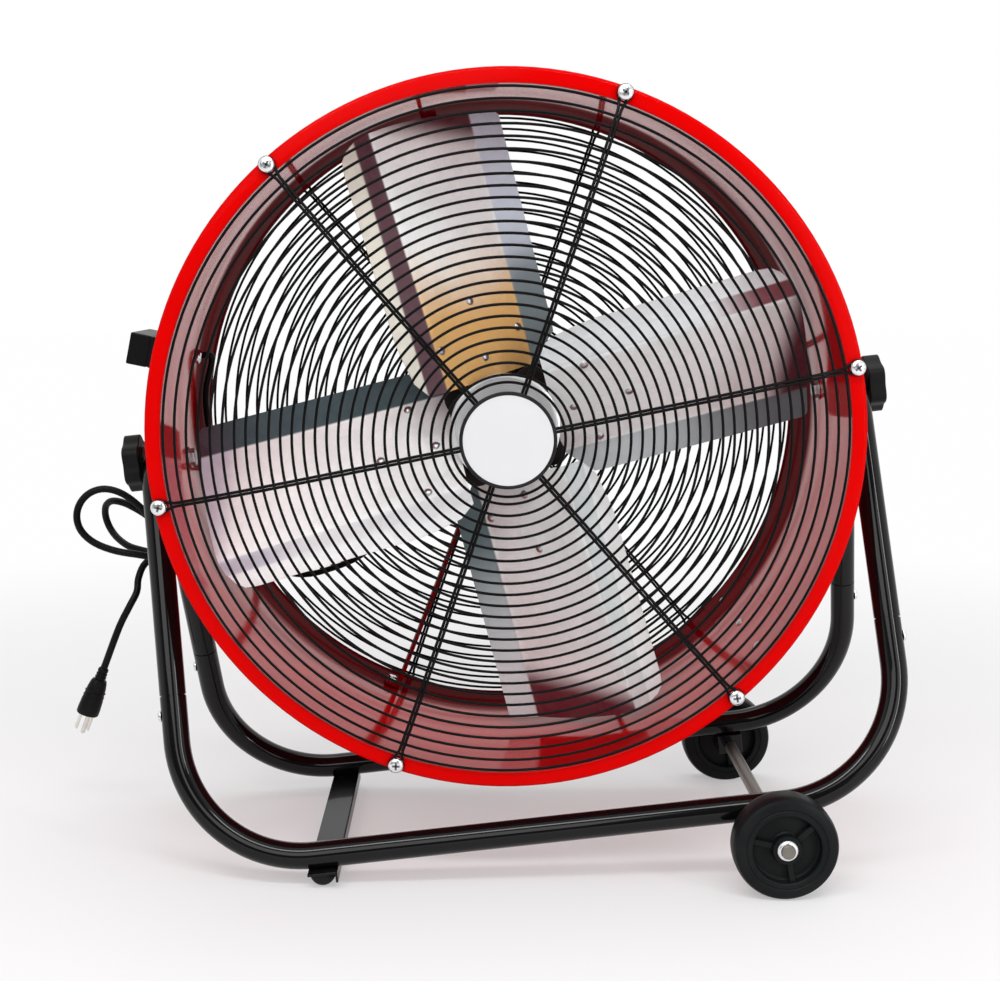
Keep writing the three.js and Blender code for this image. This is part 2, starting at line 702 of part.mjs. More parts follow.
// Spider: a lobed plate on a boss, with an inclined arm behind each blade
const lobeShares = [[0, 0], [16, 0.05], [30, 0.75], [45, 1], [60, 0.75], [74, 0.05]];
function spider() {
  const lobed = bladeAngles.flatMap((angle) => lobeShares.map(([turn, share]) => {
    const radius = spiderPlateRadius + (spiderLobeRadius - spiderPlateRadius) * share;
    const place = around(angle + turn, radius, 0);
    return new THREE.Vector2(place.x, place.z);
  }));
  const plate = prism(lobed, bladeMidDepth - spiderPlate / 2, bladeMidDepth + spiderPlate / 2);
  const boss = turned([
    [0, spiderBossFront], [spiderBossRadius, spiderBossFront],
    [spiderBossRadius, spiderBossRear], [0, spiderBossRear],
  ], 12);
  const pitchCos = Math.cos(radians(bladePitch));
  const half = [
    [spiderArmRootSpread, spiderArmRoot], [spiderArmSpread, rivetSideRadius - rivetHead * 2],
    [spiderArmSpread, rivetSideRadius + rivetHead * 2], [spiderArmTipSpread, spiderArmTip],
  ];
  const mirrored = half.map(([across, out]) => [-across, out]).reverse();
  const armOutline = half.concat(mirrored).map(([across, out]) => new THREE.Vector2(across / pitchCos, out));
  const rivetHoles = rivetPlaces.map(([across, out]) => {
    const foot = vector(across, faceDepth(across), out);
    return rod(
      rivetShank + pinGap, foot, along(foot, faceNormal, -(armFaceOffset + spiderArmThickness + cutOverrun)), 6);
  });
  const arm = cut(prism(armOutline, armFaceOffset, armFaceOffset + spiderArmThickness)
    .rotateZ(radians(bladePitch)).translate(0, bladeMidDepth, 0), ...rivetHoles);
  const arms = bladeAngles.map((angle) => arm.clone().rotateY(bladeTurn(angle)));
  const bore = rod(
    shaftRadius + pinGap, vector(0, spiderBossFront - cutOverrun, 0), vector(0, spiderBossRear + cutOverrun, 0), 12);
  return cut(join(plate, boss, ...arms), bore);
}
piece('spider', spider(), blackEnamel(), rotor);

const capRear = spiderBossFront - seatGap;
const capFront = capRear - hubCapThickness;
piece('hub_cap', turned([
  [shaftRadius + pinGap, capRear], [hubCapRadius - hubCapLip, capRear], [hubCapRadius, capRear + hubCapLip / 2],
  [hubCapRadius, capRear - hubCapLip / 2], [hubCapRadius - hubCapLip, capFront], [shaftRadius + pinGap, capFront],
], 18), steel(), rotor);
piece('fan_shaft', turned([
  [0, shaftFront], [shaftRadius, shaftFront], [shaftRadius, shaftRear], [0, shaftRear],
], 16), steel(), rotor);

// Motor, with a bore for the shaft, and its end bell
const shaftBore = shaftRadius + pinGap;
piece('motor_housing', turned([
  [shaftBore, motorFront], [motorRadius - motorFrontBevel, motorFront], [motorRadius, motorFront + motorFrontBevel],
  [motorRadius, motorRear], [0, motorRear], [0, shaftRear + cutOverrun], [shaftBore, shaftRear + cutOverrun],
], 24), motorPaint(), head);
const bellFront = motorRear + seatGap;
piece('motor_end_bell', turned([
  [0, bellFront], [endBellRadius, bellFront],
  [endBellRadius, bellFront + endBellLength / 2], [endBellRadius - endBellLength / 2, bellFront + endBellLength],
  [0, bellFront + endBellLength],
], 24), motorPaint(), head);

// Motor frame: a band round the motor and struts out to the drum's wall
function motorFrame() {
  const bandInner = motorRadius + seatGap;
  const bandOuter = bandInner + motorBandThickness;
  const band = turned([
    [bandInner, motorBandFront], [bandOuter, motorBandFront],
    [bandOuter, motorBandRear], [bandInner, motorBandRear],
  ], 24);
  const middle = (motorBandFront + motorBandRear) / 2;
  const struts = strutAngles.map((angle) => block(
    vector(bandInner + motorBandThickness / 2, middle - strutWidth / 2, -strutThickness / 2),
    vector(drumRadius + cutOverrun, middle + strutWidth / 2, strutThickness / 2)).rotateY(-radians(angle)));
  const inside = drumRadius - seatGap;
  const room = turned([[0, motorBandFront], [inside, motorBandFront], [inside, motorBandRear], [0, motorBandRear]],
    drumSegments);
  return common(join(band, ...struts), room);
}
piece('motor_frame', motorFrame(), redEnamel(), head);

// Motor lead, from the motor's side along the drum's wall to its port under the switch box
const leadLine = drumRadius - motorLeadRadius - leadWallGap;
const leadPlaces = [
  around(leadFromMotorAngle, motorRadius + seatGap * 2, leadFromMotorDepth),
  ...motorLeadAngles.map((angle, index) => around(
    angle, drumRadius * motorLeadRadiusShares[index], motorLeadDepths[index])),
  ...motorLeadWallAngles.map((angle, index) => around(angle, leadLine, motorLeadWallDepths[index])),
  around(boxAngle, leadLine - motorLeadRadius, leadPortPlace),
  around(boxAngle, boxSeatRadius - seatGap * 2, leadPortPlace),
];
piece('motor_lead', tube(motorLeadRadius, leadPlaces), blackRubber(), head);

// Tilt bolts, spacers and knobs on the tilt axis
const archInner = archReach - tubeRadius;
const knobInner = archReach + tubeRadius + seatGap;
const boltEnd = knobInner + knobThickness - boltEndInKnob;
const boltHeadSeat = drumRadius - cutOverrun;
const knobBody = new THREE.Group();
leaning.add(knobBody);
[['left', -1], ['right', 1]].forEach(([name, side]) => {
  const at = (reach) => vector(side * reach, 0, 0);
  piece(`${name}_pivot_bolt`, join(
    rod(boltHeadRadius, at(boltHeadSeat - boltHeadHeight), at(boltHeadSeat), 6),
    rod(boltRadius, at(boltHeadSeat - boltHeadHeight / 2), at(boltEnd), 8)), blackScrew(), head);
  piece(`${name}_pivot_spacer`, pipe(
    at(drumRadius + drumWall + seatGap * 2), at(archInner - seatGap), spacerRadius, boltRadius + pinGap * 2, 10),
    blackScrew(), head);
  const lobes = Array.from({ length: knobLobes * 4 }, (_, index) => {
    const radius = knobRadius - (index % 4 === 0 ? knobLobeDepth : index % 2 === 1 ? knobLobeDepth / 4 : 0);
    const turn = 2 * Math.PI * index / (knobLobes * 4);
    return new THREE.Vector2(radius * Math.cos(turn), radius * Math.sin(turn));
  });
  const knob = extruded(outline(lobes), knobThickness).rotateY(side * Math.PI / 2).translate(side * knobInner, 0, 0);
  const bore = rod(boltRadius + pinGap * 2, at(knobInner - cutOverrun), at(boltEnd + seatGap), 8);
  piece(`${name}_knob`, cut(knob, bore), blackPlastic(), knobBody);
});

// Stand tubes. A leg point is given by the side, the face (front or rear) and the drop from the tilt axis.
const crownRise = archBend / Math.sin(radians(legLean)) - archBend;
const legPoint = (side, face, drop) => vector(
  side * (archReach - drop * Math.tan(radians(legSplay))),
  face * (crownRise + drop) * Math.tan(radians(legLean)), -drop);
const tubeSides = 10;
const boreSides = 6;
const tubeBore = tubeRadius - tubeWall;
const tubeSection = outline(circle(tubeRadius, tubeSides), circle(tubeBore, boreSides));
const spigotRadius = tubeBore - spigotGap;
const socketRadius = (spigotRadius + seatGap) / Math.cos(Math.PI / tubeSides);
const jointScrewHole = jointScrewShank + pinGap;
const joints = [[-1, -1], [1, -1], [-1, 1], [1, 1]];

// The screw's line, square to the leg's outer side below its joint
function screwLine(side, face, near, far) {
  const middle = legPoint(side, face, jointDrop + jointScrewDrop);
  return [along(middle, vector(side, 0, 0), near), along(middle, vector(side, 0, 0), far)];
}

[['left', -1], ['right', 1]].forEach(([name, side]) => {
  const arch = swept(tubeSection, bentRoute(
    [legPoint(side, -1, jointDrop), vector(side * (archReach + crownRise * Math.tan(radians(legSplay))), 0, crownRise),
      legPoint(side, 1, jointDrop)], archBend, 7));
  const spigots = [-1, 1].map((face) => rod(
    spigotRadius, legPoint(side, face, jointDrop - spigotCollar), legPoint(side, face, jointDrop + spigotLength), 8));
  const screwHoles = [-1, 1].map((face) => rod(jointScrewHole, ...screwLine(side, face, 0, tubeRadius + cutOverrun), 6));
  const boltHole = rod(
    boltRadius + pinGap * 2, vector(side * (archInner - cutOverrun), 0, 0),
    vector(side * (archReach + tubeRadius + cutOverrun), 0, 0), 8);
  piece(`${name}_arch_tube`, cut(join(arch, ...spigots), boltHole, ...screwHoles), blackEnamel(), leaning);
});

[['front', -1], ['rear', 1]].forEach(([name, face]) => {
  const top = jointDrop + seatGap;
  const lower = swept(tubeSection, bentRoute(
    [legPoint(-1, face, top), legPoint(-1, face, runDrop), legPoint(1, face, runDrop), legPoint(1, face, top)],
    lowerBend, 5));
  const sockets = [-1, 1].map((side) => rod(
    socketRadius, legPoint(side, face, jointDrop - cutOverrun),
    legPoint(side, face, jointDrop + spigotLength + cutOverrun), tubeSides));
  const screwHoles = [-1, 1].map((side) => rod(
    jointScrewHole, ...screwLine(side, face, 0, tubeRadius + cutOverrun), 6));
  piece(`${name}_lower_tube`, cut(lower, ...sockets, ...screwHoles), blackEnamel(), leaning);
});

joints.forEach(([side, face]) => {
  const name = `${side < 0 ? 'left' : 'right'}_${face < 0 ? 'front' : 'rear'}_joint_screw`;
  const seat = tubeRadius + seatGap;
  piece(name, join(
    rod(jointScrewHead, ...screwLine(side, face, seat, seat + jointScrewHeadHeight), 8),
    rod(jointScrewShank, ...screwLine(side, face, seat - jointScrewLength, seat + jointScrewHeadHeight / 2), 6)),
  blackScrew(), leaning);
});

// Foot bar: a channel under both runs, with a rubber dome at each end
const runDepth = (crownRise + runDrop) * Math.tan(radians(legLean));
const wheelPlace = runDepth + tubeRadius + wheelGap + wheelWidth / 2;
const axleEnd = wheelPlace + wheelWidth / 2 + axleStub;
const barTop = -(runDrop + tubeRadius + seatGap);
const barUnder = barTop - footBarSheet;
const barReach = runDepth + tubeRadius + footBarOverhang;
const barInner = -footBarPlace + footBarWidth / 2;
piece('foot_bar', join(
  block(vector(-footBarPlace - footBarWidth / 2, -barReach, barUnder), vector(barInner, barReach, barTop)),
  block(vector(barInner - footBarSheet, -barReach, barUnder - footBarFlange), vector(barInner, barReach, barTop))),
blackEnamel(), leaning);
const footTop = barUnder - seatGap;
const footCentreDrop = footCollar - footTop;
const footPlace = barInner - footBarSheet - seatGap - footRadius;
[['front', -1], ['rear', 1]].forEach(([name, face]) => {
  const profile = [[0, -footCollar], [footRadius, -footCollar], [footRadius, 0]];
  const domeSteps = 5;
  for (let step = 1; step <= domeSteps; step += 1) {
    const turn = Math.PI / 2 * step / domeSteps;
    profile.push([step === domeSteps ? 0 : footRadius * Math.cos(turn), footRadius * Math.sin(turn)]);
  }
  piece(`${name}_foot`, turned(profile, 12).rotateX(-Math.PI / 2), blackRubber(), leaning,
    vector(footPlace, face * runDepth, -footCentreDrop));
});

// Axle in two brackets, wheels and push nuts
const axleBore = axleRadius + pinGap;
const wheelInner = wheelPlace - wheelWidth / 2;
const bracketOuter = runDepth + bracketThickness / 2;
[['front', -1], ['rear', 1]].forEach(([name, face]) => {
  const bracket = block(
    vector(axlePlace - bracketWidth / 2, face * runDepth - bracketThickness / 2, -(axleDrop + bracketBelowAxle)),
    vector(axlePlace + bracketWidth / 2, face * runDepth + bracketThickness / 2, barTop));
  const hole = rod(
    axleBore, vector(axlePlace, face * (runDepth - bracketThickness), -axleDrop),
    vector(axlePlace, face * (runDepth + bracketThickness), -axleDrop), 12);
  piece(`${name}_axle_bracket`, cut(bracket, hole), blackEnamel(), leaning);
  const profile = [
    [axleBore, -wheelWidth / 2], [wheelHubRadius, -wheelWidth / 2], [wheelHubRadius, -wheelWeb / 2],
    [wheelRecessRadius, -wheelWeb / 2], [wheelRecessRadius, -wheelWidth / 2],
    [wheelRadius - wheelShoulder, -wheelWidth / 2], [wheelRadius, -wheelWidth / 2 + wheelShoulder],
    [wheelRadius, wheelWidth / 2 - wheelShoulder], [wheelRadius - wheelShoulder, wheelWidth / 2],
    [wheelRecessRadius, wheelWidth / 2], [wheelRecessRadius, wheelWeb / 2],
    [wheelHubRadius, wheelWeb / 2], [wheelHubRadius, wheelWidth / 2], [axleBore, wheelWidth / 2],
  ];
  const ribDepth = wheelWidth / 2 - wheelRibInset;
  const ribs = wheelRibAngles.map((angle) => block(
    vector(wheelHubRadius - cutOverrun, -ribDepth, -wheelRibWidth / 2),
    vector(wheelRecessRadius + cutOverrun, ribDepth, wheelRibWidth / 2)).rotateY(-radians(angle)));
  piece(`${name}_wheel`, join(turned(profile, wheelSegments), ...ribs), blackPlastic(), leaning,
    vector(axlePlace, face * wheelPlace, -axleDrop));
  const nutInner = wheelPlace + wheelWidth / 2 + seatGap;
  piece(`${name}_push_nut`, turned([
    [axleBore, face * nutInner], [pushNutRadius, face * nutInner],
    [axleBore + pushNutThickness / 2, face * (nutInner + pushNutThickness)],
    [axleBore, face * (nutInner + pushNutThickness)],
  ], 14), steel(), leaning, vector(axlePlace, 0, -axleDrop));
});
const collarInner = bracketOuter + seatGap;
const collarOuter = wheelInner - seatGap;
piece('axle', turned([
  [0, -axleEnd], [axleRadius, -axleEnd], [axleRadius, -collarOuter], [axleCollarRadius, -collarOuter],
  [axleCollarRadius, -collarInner], [axleRadius, -collarInner], [axleRadius, collarInner],
  [axleCollarRadius, collarInner], [axleCollarRadius, collarOuter], [axleRadius, collarOuter],
  [axleRadius, axleEnd], [0, axleEnd],
], 12), blackScrew(), leaning, vector(axlePlace, 0, -axleDrop));

// Switch box. In its seat's frame Z points out from the drum, X points up and Y is depth.
switchSeat.rotation.y = radians(90 - boxAngle);
switchSeat.updateMatrix();
const boxTop = boxSeatRadius + boxHeight;
const boxHalf = boxThickness / 2;
const switchRadius = boxSeatRadius + switchHeight;
function switchBox() {
  const body = block(vector(-boxHalf, boxFront, boxSeatRadius), vector(boxHalf, boxRear, boxTop));
  const hollow = block(
    vector(-boxHalf + boxSheet, boxFront + boxSheet, boxSeatRadius - cutOverrun),
    vector(boxHalf - boxSheet, boxRear - boxSheet, boxTop - boxSheet));
  const post = rod(
    boxPostRadius, vector(0, boxScrewPlace, boxSeatRadius), vector(0, boxScrewPlace, boxTop - boxSheet / 2), 8);
  const screwHole = rod(
    boxScrewShank + pinGap, vector(0, boxScrewPlace, boxSeatRadius - cutOverrun),
    vector(0, boxScrewPlace, boxSeatRadius + boxScrewLength + cutOverrun), 8);
  const stemHole = rod(
    switchStemRadius + pinGap, vector(0, boxRear - boxSheet * 2, switchRadius),
    vector(0, boxRear + cutOverrun, switchRadius), 8);
  const reliefHole = rod(
    reliefStemRadius + pinGap, vector(-boxHalf - cutOverrun, reliefPlace, boxSeatRadius + reliefHeight),
    vector(-boxHalf + boxSheet * 2, reliefPlace, boxSeatRadius + reliefHeight), 10);
  return cut(join(cut(body, hollow), post), screwHole, stemHole, reliefHole);
}
piece('switch_box', switchBox(), blackEnamel(), switchSeat);
const boxScrewSeat = drumRadius - cutOverrun;
piece('switch_box_screw', join(
  rod(boxScrewHead, vector(0, boxScrewPlace, boxScrewSeat - boxScrewHeadHeight),
    vector(0, boxScrewPlace, boxScrewSeat), 8),
  rod(boxScrewShank, vector(0, boxScrewPlace, boxScrewSeat - boxScrewHeadHeight / 2),
    vector(0, boxScrewPlace, boxSeatRadius + boxScrewLength), 6)), blackScrew(), switchSeat);
const knobFace = boxRear + seatGap;
piece('switch_knob', join(
  rod(switchKnobRadius, vector(0, knobFace, 0), vector(0, knobFace + switchKnobLength, 0), 14,
    switchKnobRadius * 0.85),
  block(vector(-switchPointerWidth / 2, knobFace + switchKnobLength / 2, -switchKnobRadius * 0.8),
    vector(switchPointerWidth / 2, knobFace + switchKnobLength + switchPointerRise, switchKnobRadius * 0.8)),
  rod(switchStemRadius, vector(0, knobFace - switchStemLength, 0), vector(0, knobFace + switchKnobLength / 2, 0), 8)),
blackPlastic(), switchSeat, vector(0, 0, switchRadius));
const reliefLevel = boxSeatRadius + reliefHeight;
const reliefFace = -boxHalf - seatGap;
piece('strain_relief', join(
  rod(reliefRootRadius, vector(reliefFace, reliefPlace, reliefLevel),
    vector(reliefFace - reliefLength, reliefPlace, reliefLevel), 10, reliefTipRadius),
  rod(reliefStemRadius, vector(reliefFace + boxSheet * 2, reliefPlace, reliefLevel),
    vector(reliefFace - reliefLength / 2, reliefPlace, reliefLevel), 10)), blackRubber(), switchSeat);

// The cord's hank. Each lobe runs out from the waist and back, drawn in alike at the waist.
const fromCrown = ([out, depth, rise]) => vector(out - archReach, depth, rise);
const unit = (numbers) => vector(...numbers).normalize();
const seenWay = unit(hankSeenWay);
const hiddenWay = unit(hankHiddenWay);
const hankLine = seenWay.clone().sub(hiddenWay).multiplyScalar(1 / 2);
const hankBow = seenWay.clone().add(hiddenWay).multiplyScalar(1 / 2);
const hankSquare = seenWay.clone().cross(vector(0, 1, 0)).normalize();
if (hankSquare.z < 0) hankSquare.negate();
const eased = (share) => share * share * (3 - 2 * share);
const held = (share) => eased(Math.min(1, Math.min(share, 1 - share) / hankRampShare));

function hankFrame(reach) {
  const bend = Math.hypot(reach, hankBendLength);
  const place = along(along(fromCrown(hankWaist), hankLine, reach), hankBow, bend - hankBendLength);
  const way = along(hankLine, hankBow, reach / bend).normalize();
  const side = hankSquare.clone().cross(way).normalize();
  return { place, way, side, up: way.clone().cross(side) };
}

function hankPoint(turn) {
  const lobe = Math.min(Math.floor(turn / Math.PI), hankLobes - 1);
  const share = turn / Math.PI - lobe;
  const tilt = radians(hankLobeTurns[lobe] * held(share));
  const { place, side, up } = hankFrame(-hankLobeLengths[lobe] * Math.sin(turn));
  const width = Math.hypot(hankLobeWidths[lobe] * Math.sin(2 * turn), hankWaistSpread * Math.cos(turn));
  const across = Math.cos(turn) >= 0 ? width : -width;
  const climb = hankLevels[lobe + 1] - hankLevels[lobe];
  const level = hankLevels[lobe] + climb * eased(share) + hankLobeLifts[lobe] * held(share);
  return along(along(place, up, across * Math.cos(tilt)), side, across * Math.sin(tilt) + level);
}

const hankSteps = hankLobes * hankStepsPerLobe;
const hankTurn = (step) => Math.PI * hankLobes * step / hankSteps;
const hankPath = Array.from({ length: hankSteps + 1 }, (_, step) => hankPoint(hankTurn(step)));
const endStep = Math.PI / 500;
const hankInWay = hankPoint(endStep).sub(hankPoint(0)).normalize();
const hankOutWay = hankPoint(Math.PI * hankLobes).sub(hankPoint(Math.PI * hankLobes - endStep)).normalize();
const hankStart = along(hankPath[0], hankInWay, -cordRadius * 2);
const hankEnd = along(hankPath[hankSteps], hankOutWay, cordRadius * 2);
const hankRoute = [hankStart, ...hankPath, hankEnd];
cordPieces.push(piece(
  'cord_hank', swept(outline(circle(cordRadius, hankSides)), hankRoute), blackRubber(), leaning));

// The hank's least gap to itself, measured on points close together along its middle line
function leastGap(samples, apart) {
  const points = Array.from({ length: samples + 1 }, (_, index) => hankPoint(Math.PI * hankLobes * index / samples));
  const reach = [0];
  for (let index = 1; index <= samples; index += 1) {
    reach.push(reach[index - 1] + points[index].distanceTo(points[index - 1]));
  }
  let least = Infinity;
  for (let first = 0; first <= samples; first += 1) {
    for (let second = first + 1; second <= samples; second += 1) {
      if (reach[second] - reach[first] > apart) least = Math.min(least, points[first].distanceTo(points[second]));
    }
  }
  return { gap: least - cordRadius * 2, length: reach[samples] };
}
const hankMeasure = leastGap(1200, cordRadius * 8);
console.log(`hank: least gap ${hankMeasure.gap.toFixed(2)}, length ${hankMeasure.length.toFixed(0)}`);

// The lead from the strain relief to the hank, and the tail from the hank to the plug
const reliefTip = vector(reliefFace - reliefLength, reliefPlace, reliefLevel).applyMatrix4(switchSeat.matrix);
const reliefWay = vector(-1, 0, 0).applyMatrix4(switchSeat.matrix);
const routePoints = (rows) => rows.map(fromCrown);
cordPieces.push(piece('cord_lead', tube(cordRadius, [
  along(reliefTip, reliefWay, seatGap), along(reliefTip, reliefWay, cordRadius * 2), ...routePoints(cordLeadRoute),
  along(hankStart, hankInWay, -cordRadius * 2), along(hankStart, hankInWay, -seatGap),
]), blackRubber(), leaning));
const plugWay = fromCrown(plugEnd).sub(fromCrown(plugStart)).normalize();
cordPieces.push(piece('cord_tail', tube(cordRadius, [
  along(hankEnd, hankOutWay, seatGap), along(hankEnd, hankOutWay, cordRadius * 0.8),
  ...routePoints(cordTailRoute), along(fromCrown(plugStart), plugWay, -cordRadius * 2),
  along(fromCrown(plugStart), plugWay, -seatGap),
]), blackRubber(), leaning));

// Plug, drawn along Y from its strain relief to its prongs
function plug() {
  const bodyStart = plugReliefLength;
  const bodyEnd = plugReliefLength + plugBodyLength;
  const body = turned([
    [0, 0], [plugReliefRadius, 0], [plugReliefRadius, bodyStart], [plugNeckRadius, bodyStart],
    [plugBodyRadius, bodyStart + plugBodyLength / 2], [plugBodyRadius, bodyEnd], [0, bodyEnd],
  ], 10);
  const blades = [-1, 1].map((side) => block(
    vector(side * prongSpread - prongThickness / 2, bodyEnd - cutOverrun, -prongWidth / 2),
    vector(side * prongSpread + prongThickness / 2, bodyEnd + prongLength, prongWidth / 2)));
  const ground = rod(
    groundPinRadius, vector(0, bodyEnd - cutOverrun, -groundPinPlace),
    vector(0, bodyEnd + groundPinLength, -groundPinPlace), 8);
  return join(body, ground, ...blades);
}
const plugMesh = piece('cord_plug', plug(), blackPlastic(), leaning, fromCrown(plugStart));
plugMesh.quaternion.setFromUnitVectors(vector(0, 1, 0), plugWay);
cordPieces.push(plugMesh);

// The tie: a band round the hank's waist, strapped to a band round the rear leg
function cordTie() {
  const { place, way, side, up } = hankFrame(0);
  const halfUp = hankWaistSpread + cordRadius + tieGap;
  const lastLevel = hankLevels[hankLobes];
  const halfSide = (hankLevels[0] - lastLevel) / 2 + cordRadius + tieGap;
  const middle = along(place, side, (hankLevels[0] + lastLevel) / 2);
  const rectangle = (grow) => [[-1, -1], [1, -1], [1, 1], [-1, 1]].map(([across, high]) => new THREE.Vector2(
    across * (halfSide + grow), high * (halfUp + grow)));
  const placing = new THREE.Matrix4().makeBasis(side, up, side.clone().cross(up)).setPosition(middle);
  const waistBand = extruded(outline(rectangle(tieThickness), rectangle(0)), tieWidth)
    .translate(0, 0, -tieWidth / 2).applyMatrix4(placing);
  const legInner = tubeRadius + tieLegGap;
  const drop = -middle.z;
  const legBand = pipe(
    legPoint(-1, 1, drop - tieWidth / 2), legPoint(-1, 1, drop + tieWidth / 2), legInner + tieThickness, legInner, 14);
  const legMiddle = legPoint(-1, 1, drop);
  const strapWay = middle.clone().sub(legMiddle).normalize();
  const start = along(legMiddle, strapWay, legInner + tieThickness / 2);
  const back = strapWay.clone().negate();
  const reach = Math.min(
    (halfSide + tieThickness / 2) / Math.abs(back.dot(side)), (halfUp + tieThickness / 2) / Math.abs(back.dot(up)));
  const strap = rod(tieStrapRadius, start, along(middle, back, reach), 6);
  const cleared = cut(strap, ...[swept(outline(circle(legInner, 14)),
    [legPoint(-1, 1, drop - tubeRadius), legPoint(-1, 1, drop + tubeRadius)]),
  extruded(outline(rectangle(0)), tieWidth * 4).translate(0, 0, -tieWidth * 2).applyMatrix4(placing)]);
  return join(waistBand, legBand, cleared);
}
cordPieces.push(piece('cord_tie', cordTie(), blackPlastic(), leaning));

// The lean that brings the wheels and the feet down to one floor
const wheelToFoot = { run: axlePlace - footPlace, drop: axleDrop - footCentreDrop };
const restLean = Math.asin((wheelRadius - footRadius) / Math.hypot(wheelToFoot.run, wheelToFoot.drop))
  + Math.atan2(wheelToFoot.drop, wheelToFoot.run);
leaning.rotation.y = -restLean;
fan.updateMatrixWorld(true);

// The origin is on the floor, under the middle of everything but the cord.
const extent = new THREE.Box3();
fan.traverse((part) => {
  if (part.isMesh && !cordPieces.includes(part)) extent.expandByObject(part, true);
});
leaning.position.set(-(extent.min.x + extent.max.x) / 2, -(extent.min.y + extent.max.y) / 2, -extent.min.z);
fan.updateMatrixWorld(true);

export default fan;
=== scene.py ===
import json
import math

import bmesh
import bpy
from bpy.props import FloatProperty, FloatVectorProperty, IntProperty, PointerProperty
from mathutils import Matrix, Vector


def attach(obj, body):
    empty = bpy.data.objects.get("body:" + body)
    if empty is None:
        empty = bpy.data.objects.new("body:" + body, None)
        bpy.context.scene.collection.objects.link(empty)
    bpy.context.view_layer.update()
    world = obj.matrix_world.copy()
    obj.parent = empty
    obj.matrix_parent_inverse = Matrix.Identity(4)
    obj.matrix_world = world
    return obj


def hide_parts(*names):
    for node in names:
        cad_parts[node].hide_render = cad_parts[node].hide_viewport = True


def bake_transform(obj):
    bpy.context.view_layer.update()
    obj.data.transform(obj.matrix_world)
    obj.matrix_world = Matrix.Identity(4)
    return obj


bl_info = {
    "name": "Tilting drum fan",
    "version": (1, 0, 0),
    "blender": (4, 5, 0),
    "location": "View3D > Sidebar > Drum fan",
    "description": "Dresses a drum fan on its bent tube stand, piece by piece",
    "category": "Add Mesh",
}

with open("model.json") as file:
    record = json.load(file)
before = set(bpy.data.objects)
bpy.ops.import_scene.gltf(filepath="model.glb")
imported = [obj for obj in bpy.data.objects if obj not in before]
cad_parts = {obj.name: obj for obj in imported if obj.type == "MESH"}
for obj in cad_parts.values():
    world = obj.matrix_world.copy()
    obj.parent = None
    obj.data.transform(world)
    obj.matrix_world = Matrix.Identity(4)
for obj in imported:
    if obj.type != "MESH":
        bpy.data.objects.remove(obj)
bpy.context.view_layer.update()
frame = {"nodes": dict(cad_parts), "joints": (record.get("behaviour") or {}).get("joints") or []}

# Sizes below are in millimetres in the drum's own frame, whose origin is on the tilt axis:
# X runs along that axis towards the wheels and -Y is where the air blows out.
MILLI = 0.001
TILT = next(joint for joint in frame["joints"] if joint["name"] == "head_tilt")
LEAN = math.atan2(TILT["axis"][2], TILT["axis"][0])
REST = (
    Matrix.Translation(TILT["pos_m"])
    @ Matrix.Rotation(-LEAN, 4, "Y")
    @ Matrix.Scale(MILLI, 4)
)
FRONT, REAR = 138.2, 155.9
ENDS = {"front": (-1, FRONT), "rear": (1, REAR)}
SIDES = (("left", -1), ("right", 1))
FACES = (("front", -1), ("rear", 1))
SPOKE_ANGLES = [5.15 + 60 * turn for turn in range(6)]
STRUT_ANGLES = (242.84, 284.84, 98.84)
BLADE_ANGLES = [9.6 + 90 * turn for turn in range(4)]
BLADE_ROOT, BLADE_TIP = 49, 303
BLADE_PITCH = math.radians(38)
PITCH_RISE = math.tan(BLADE_PITCH)
HUB_DEPTH = -30
# Each fold of a blade as its place at the root and how much further out it is at the tip
FOLD, FOLD_FLARE = 43, 5
LIP, LIP_FLARE = 62, 2
DRUM_INNER, DRUM_RIM = 313.0, 327.9
GUARD_RADIUS = 310.3
SCREW_CIRCLE = 321.6
PLATE_RISE = 24.85
CROWN_BEND = 38
LEG_ANGLE = math.radians(16.6)
LEG_LEAN = math.tan(LEG_ANGLE)
LEG_SPLAY = math.tan(math.radians(0.5))
CROWN_RISE = CROWN_BEND / math.sin(LEG_ANGLE) - CROWN_BEND
ARCH_REACH = 343.5
RUN_DROP = 370.5
RUN_DEPTH = (CROWN_RISE + RUN_DROP) * LEG_LEAN
JOINT_DROP = 214.8
AXLE_PLACE = Vector((212.2, 0, -396.65))
SWITCH_SEAT = Matrix.Rotation(math.radians(90 - 162.2), 4, "Y")

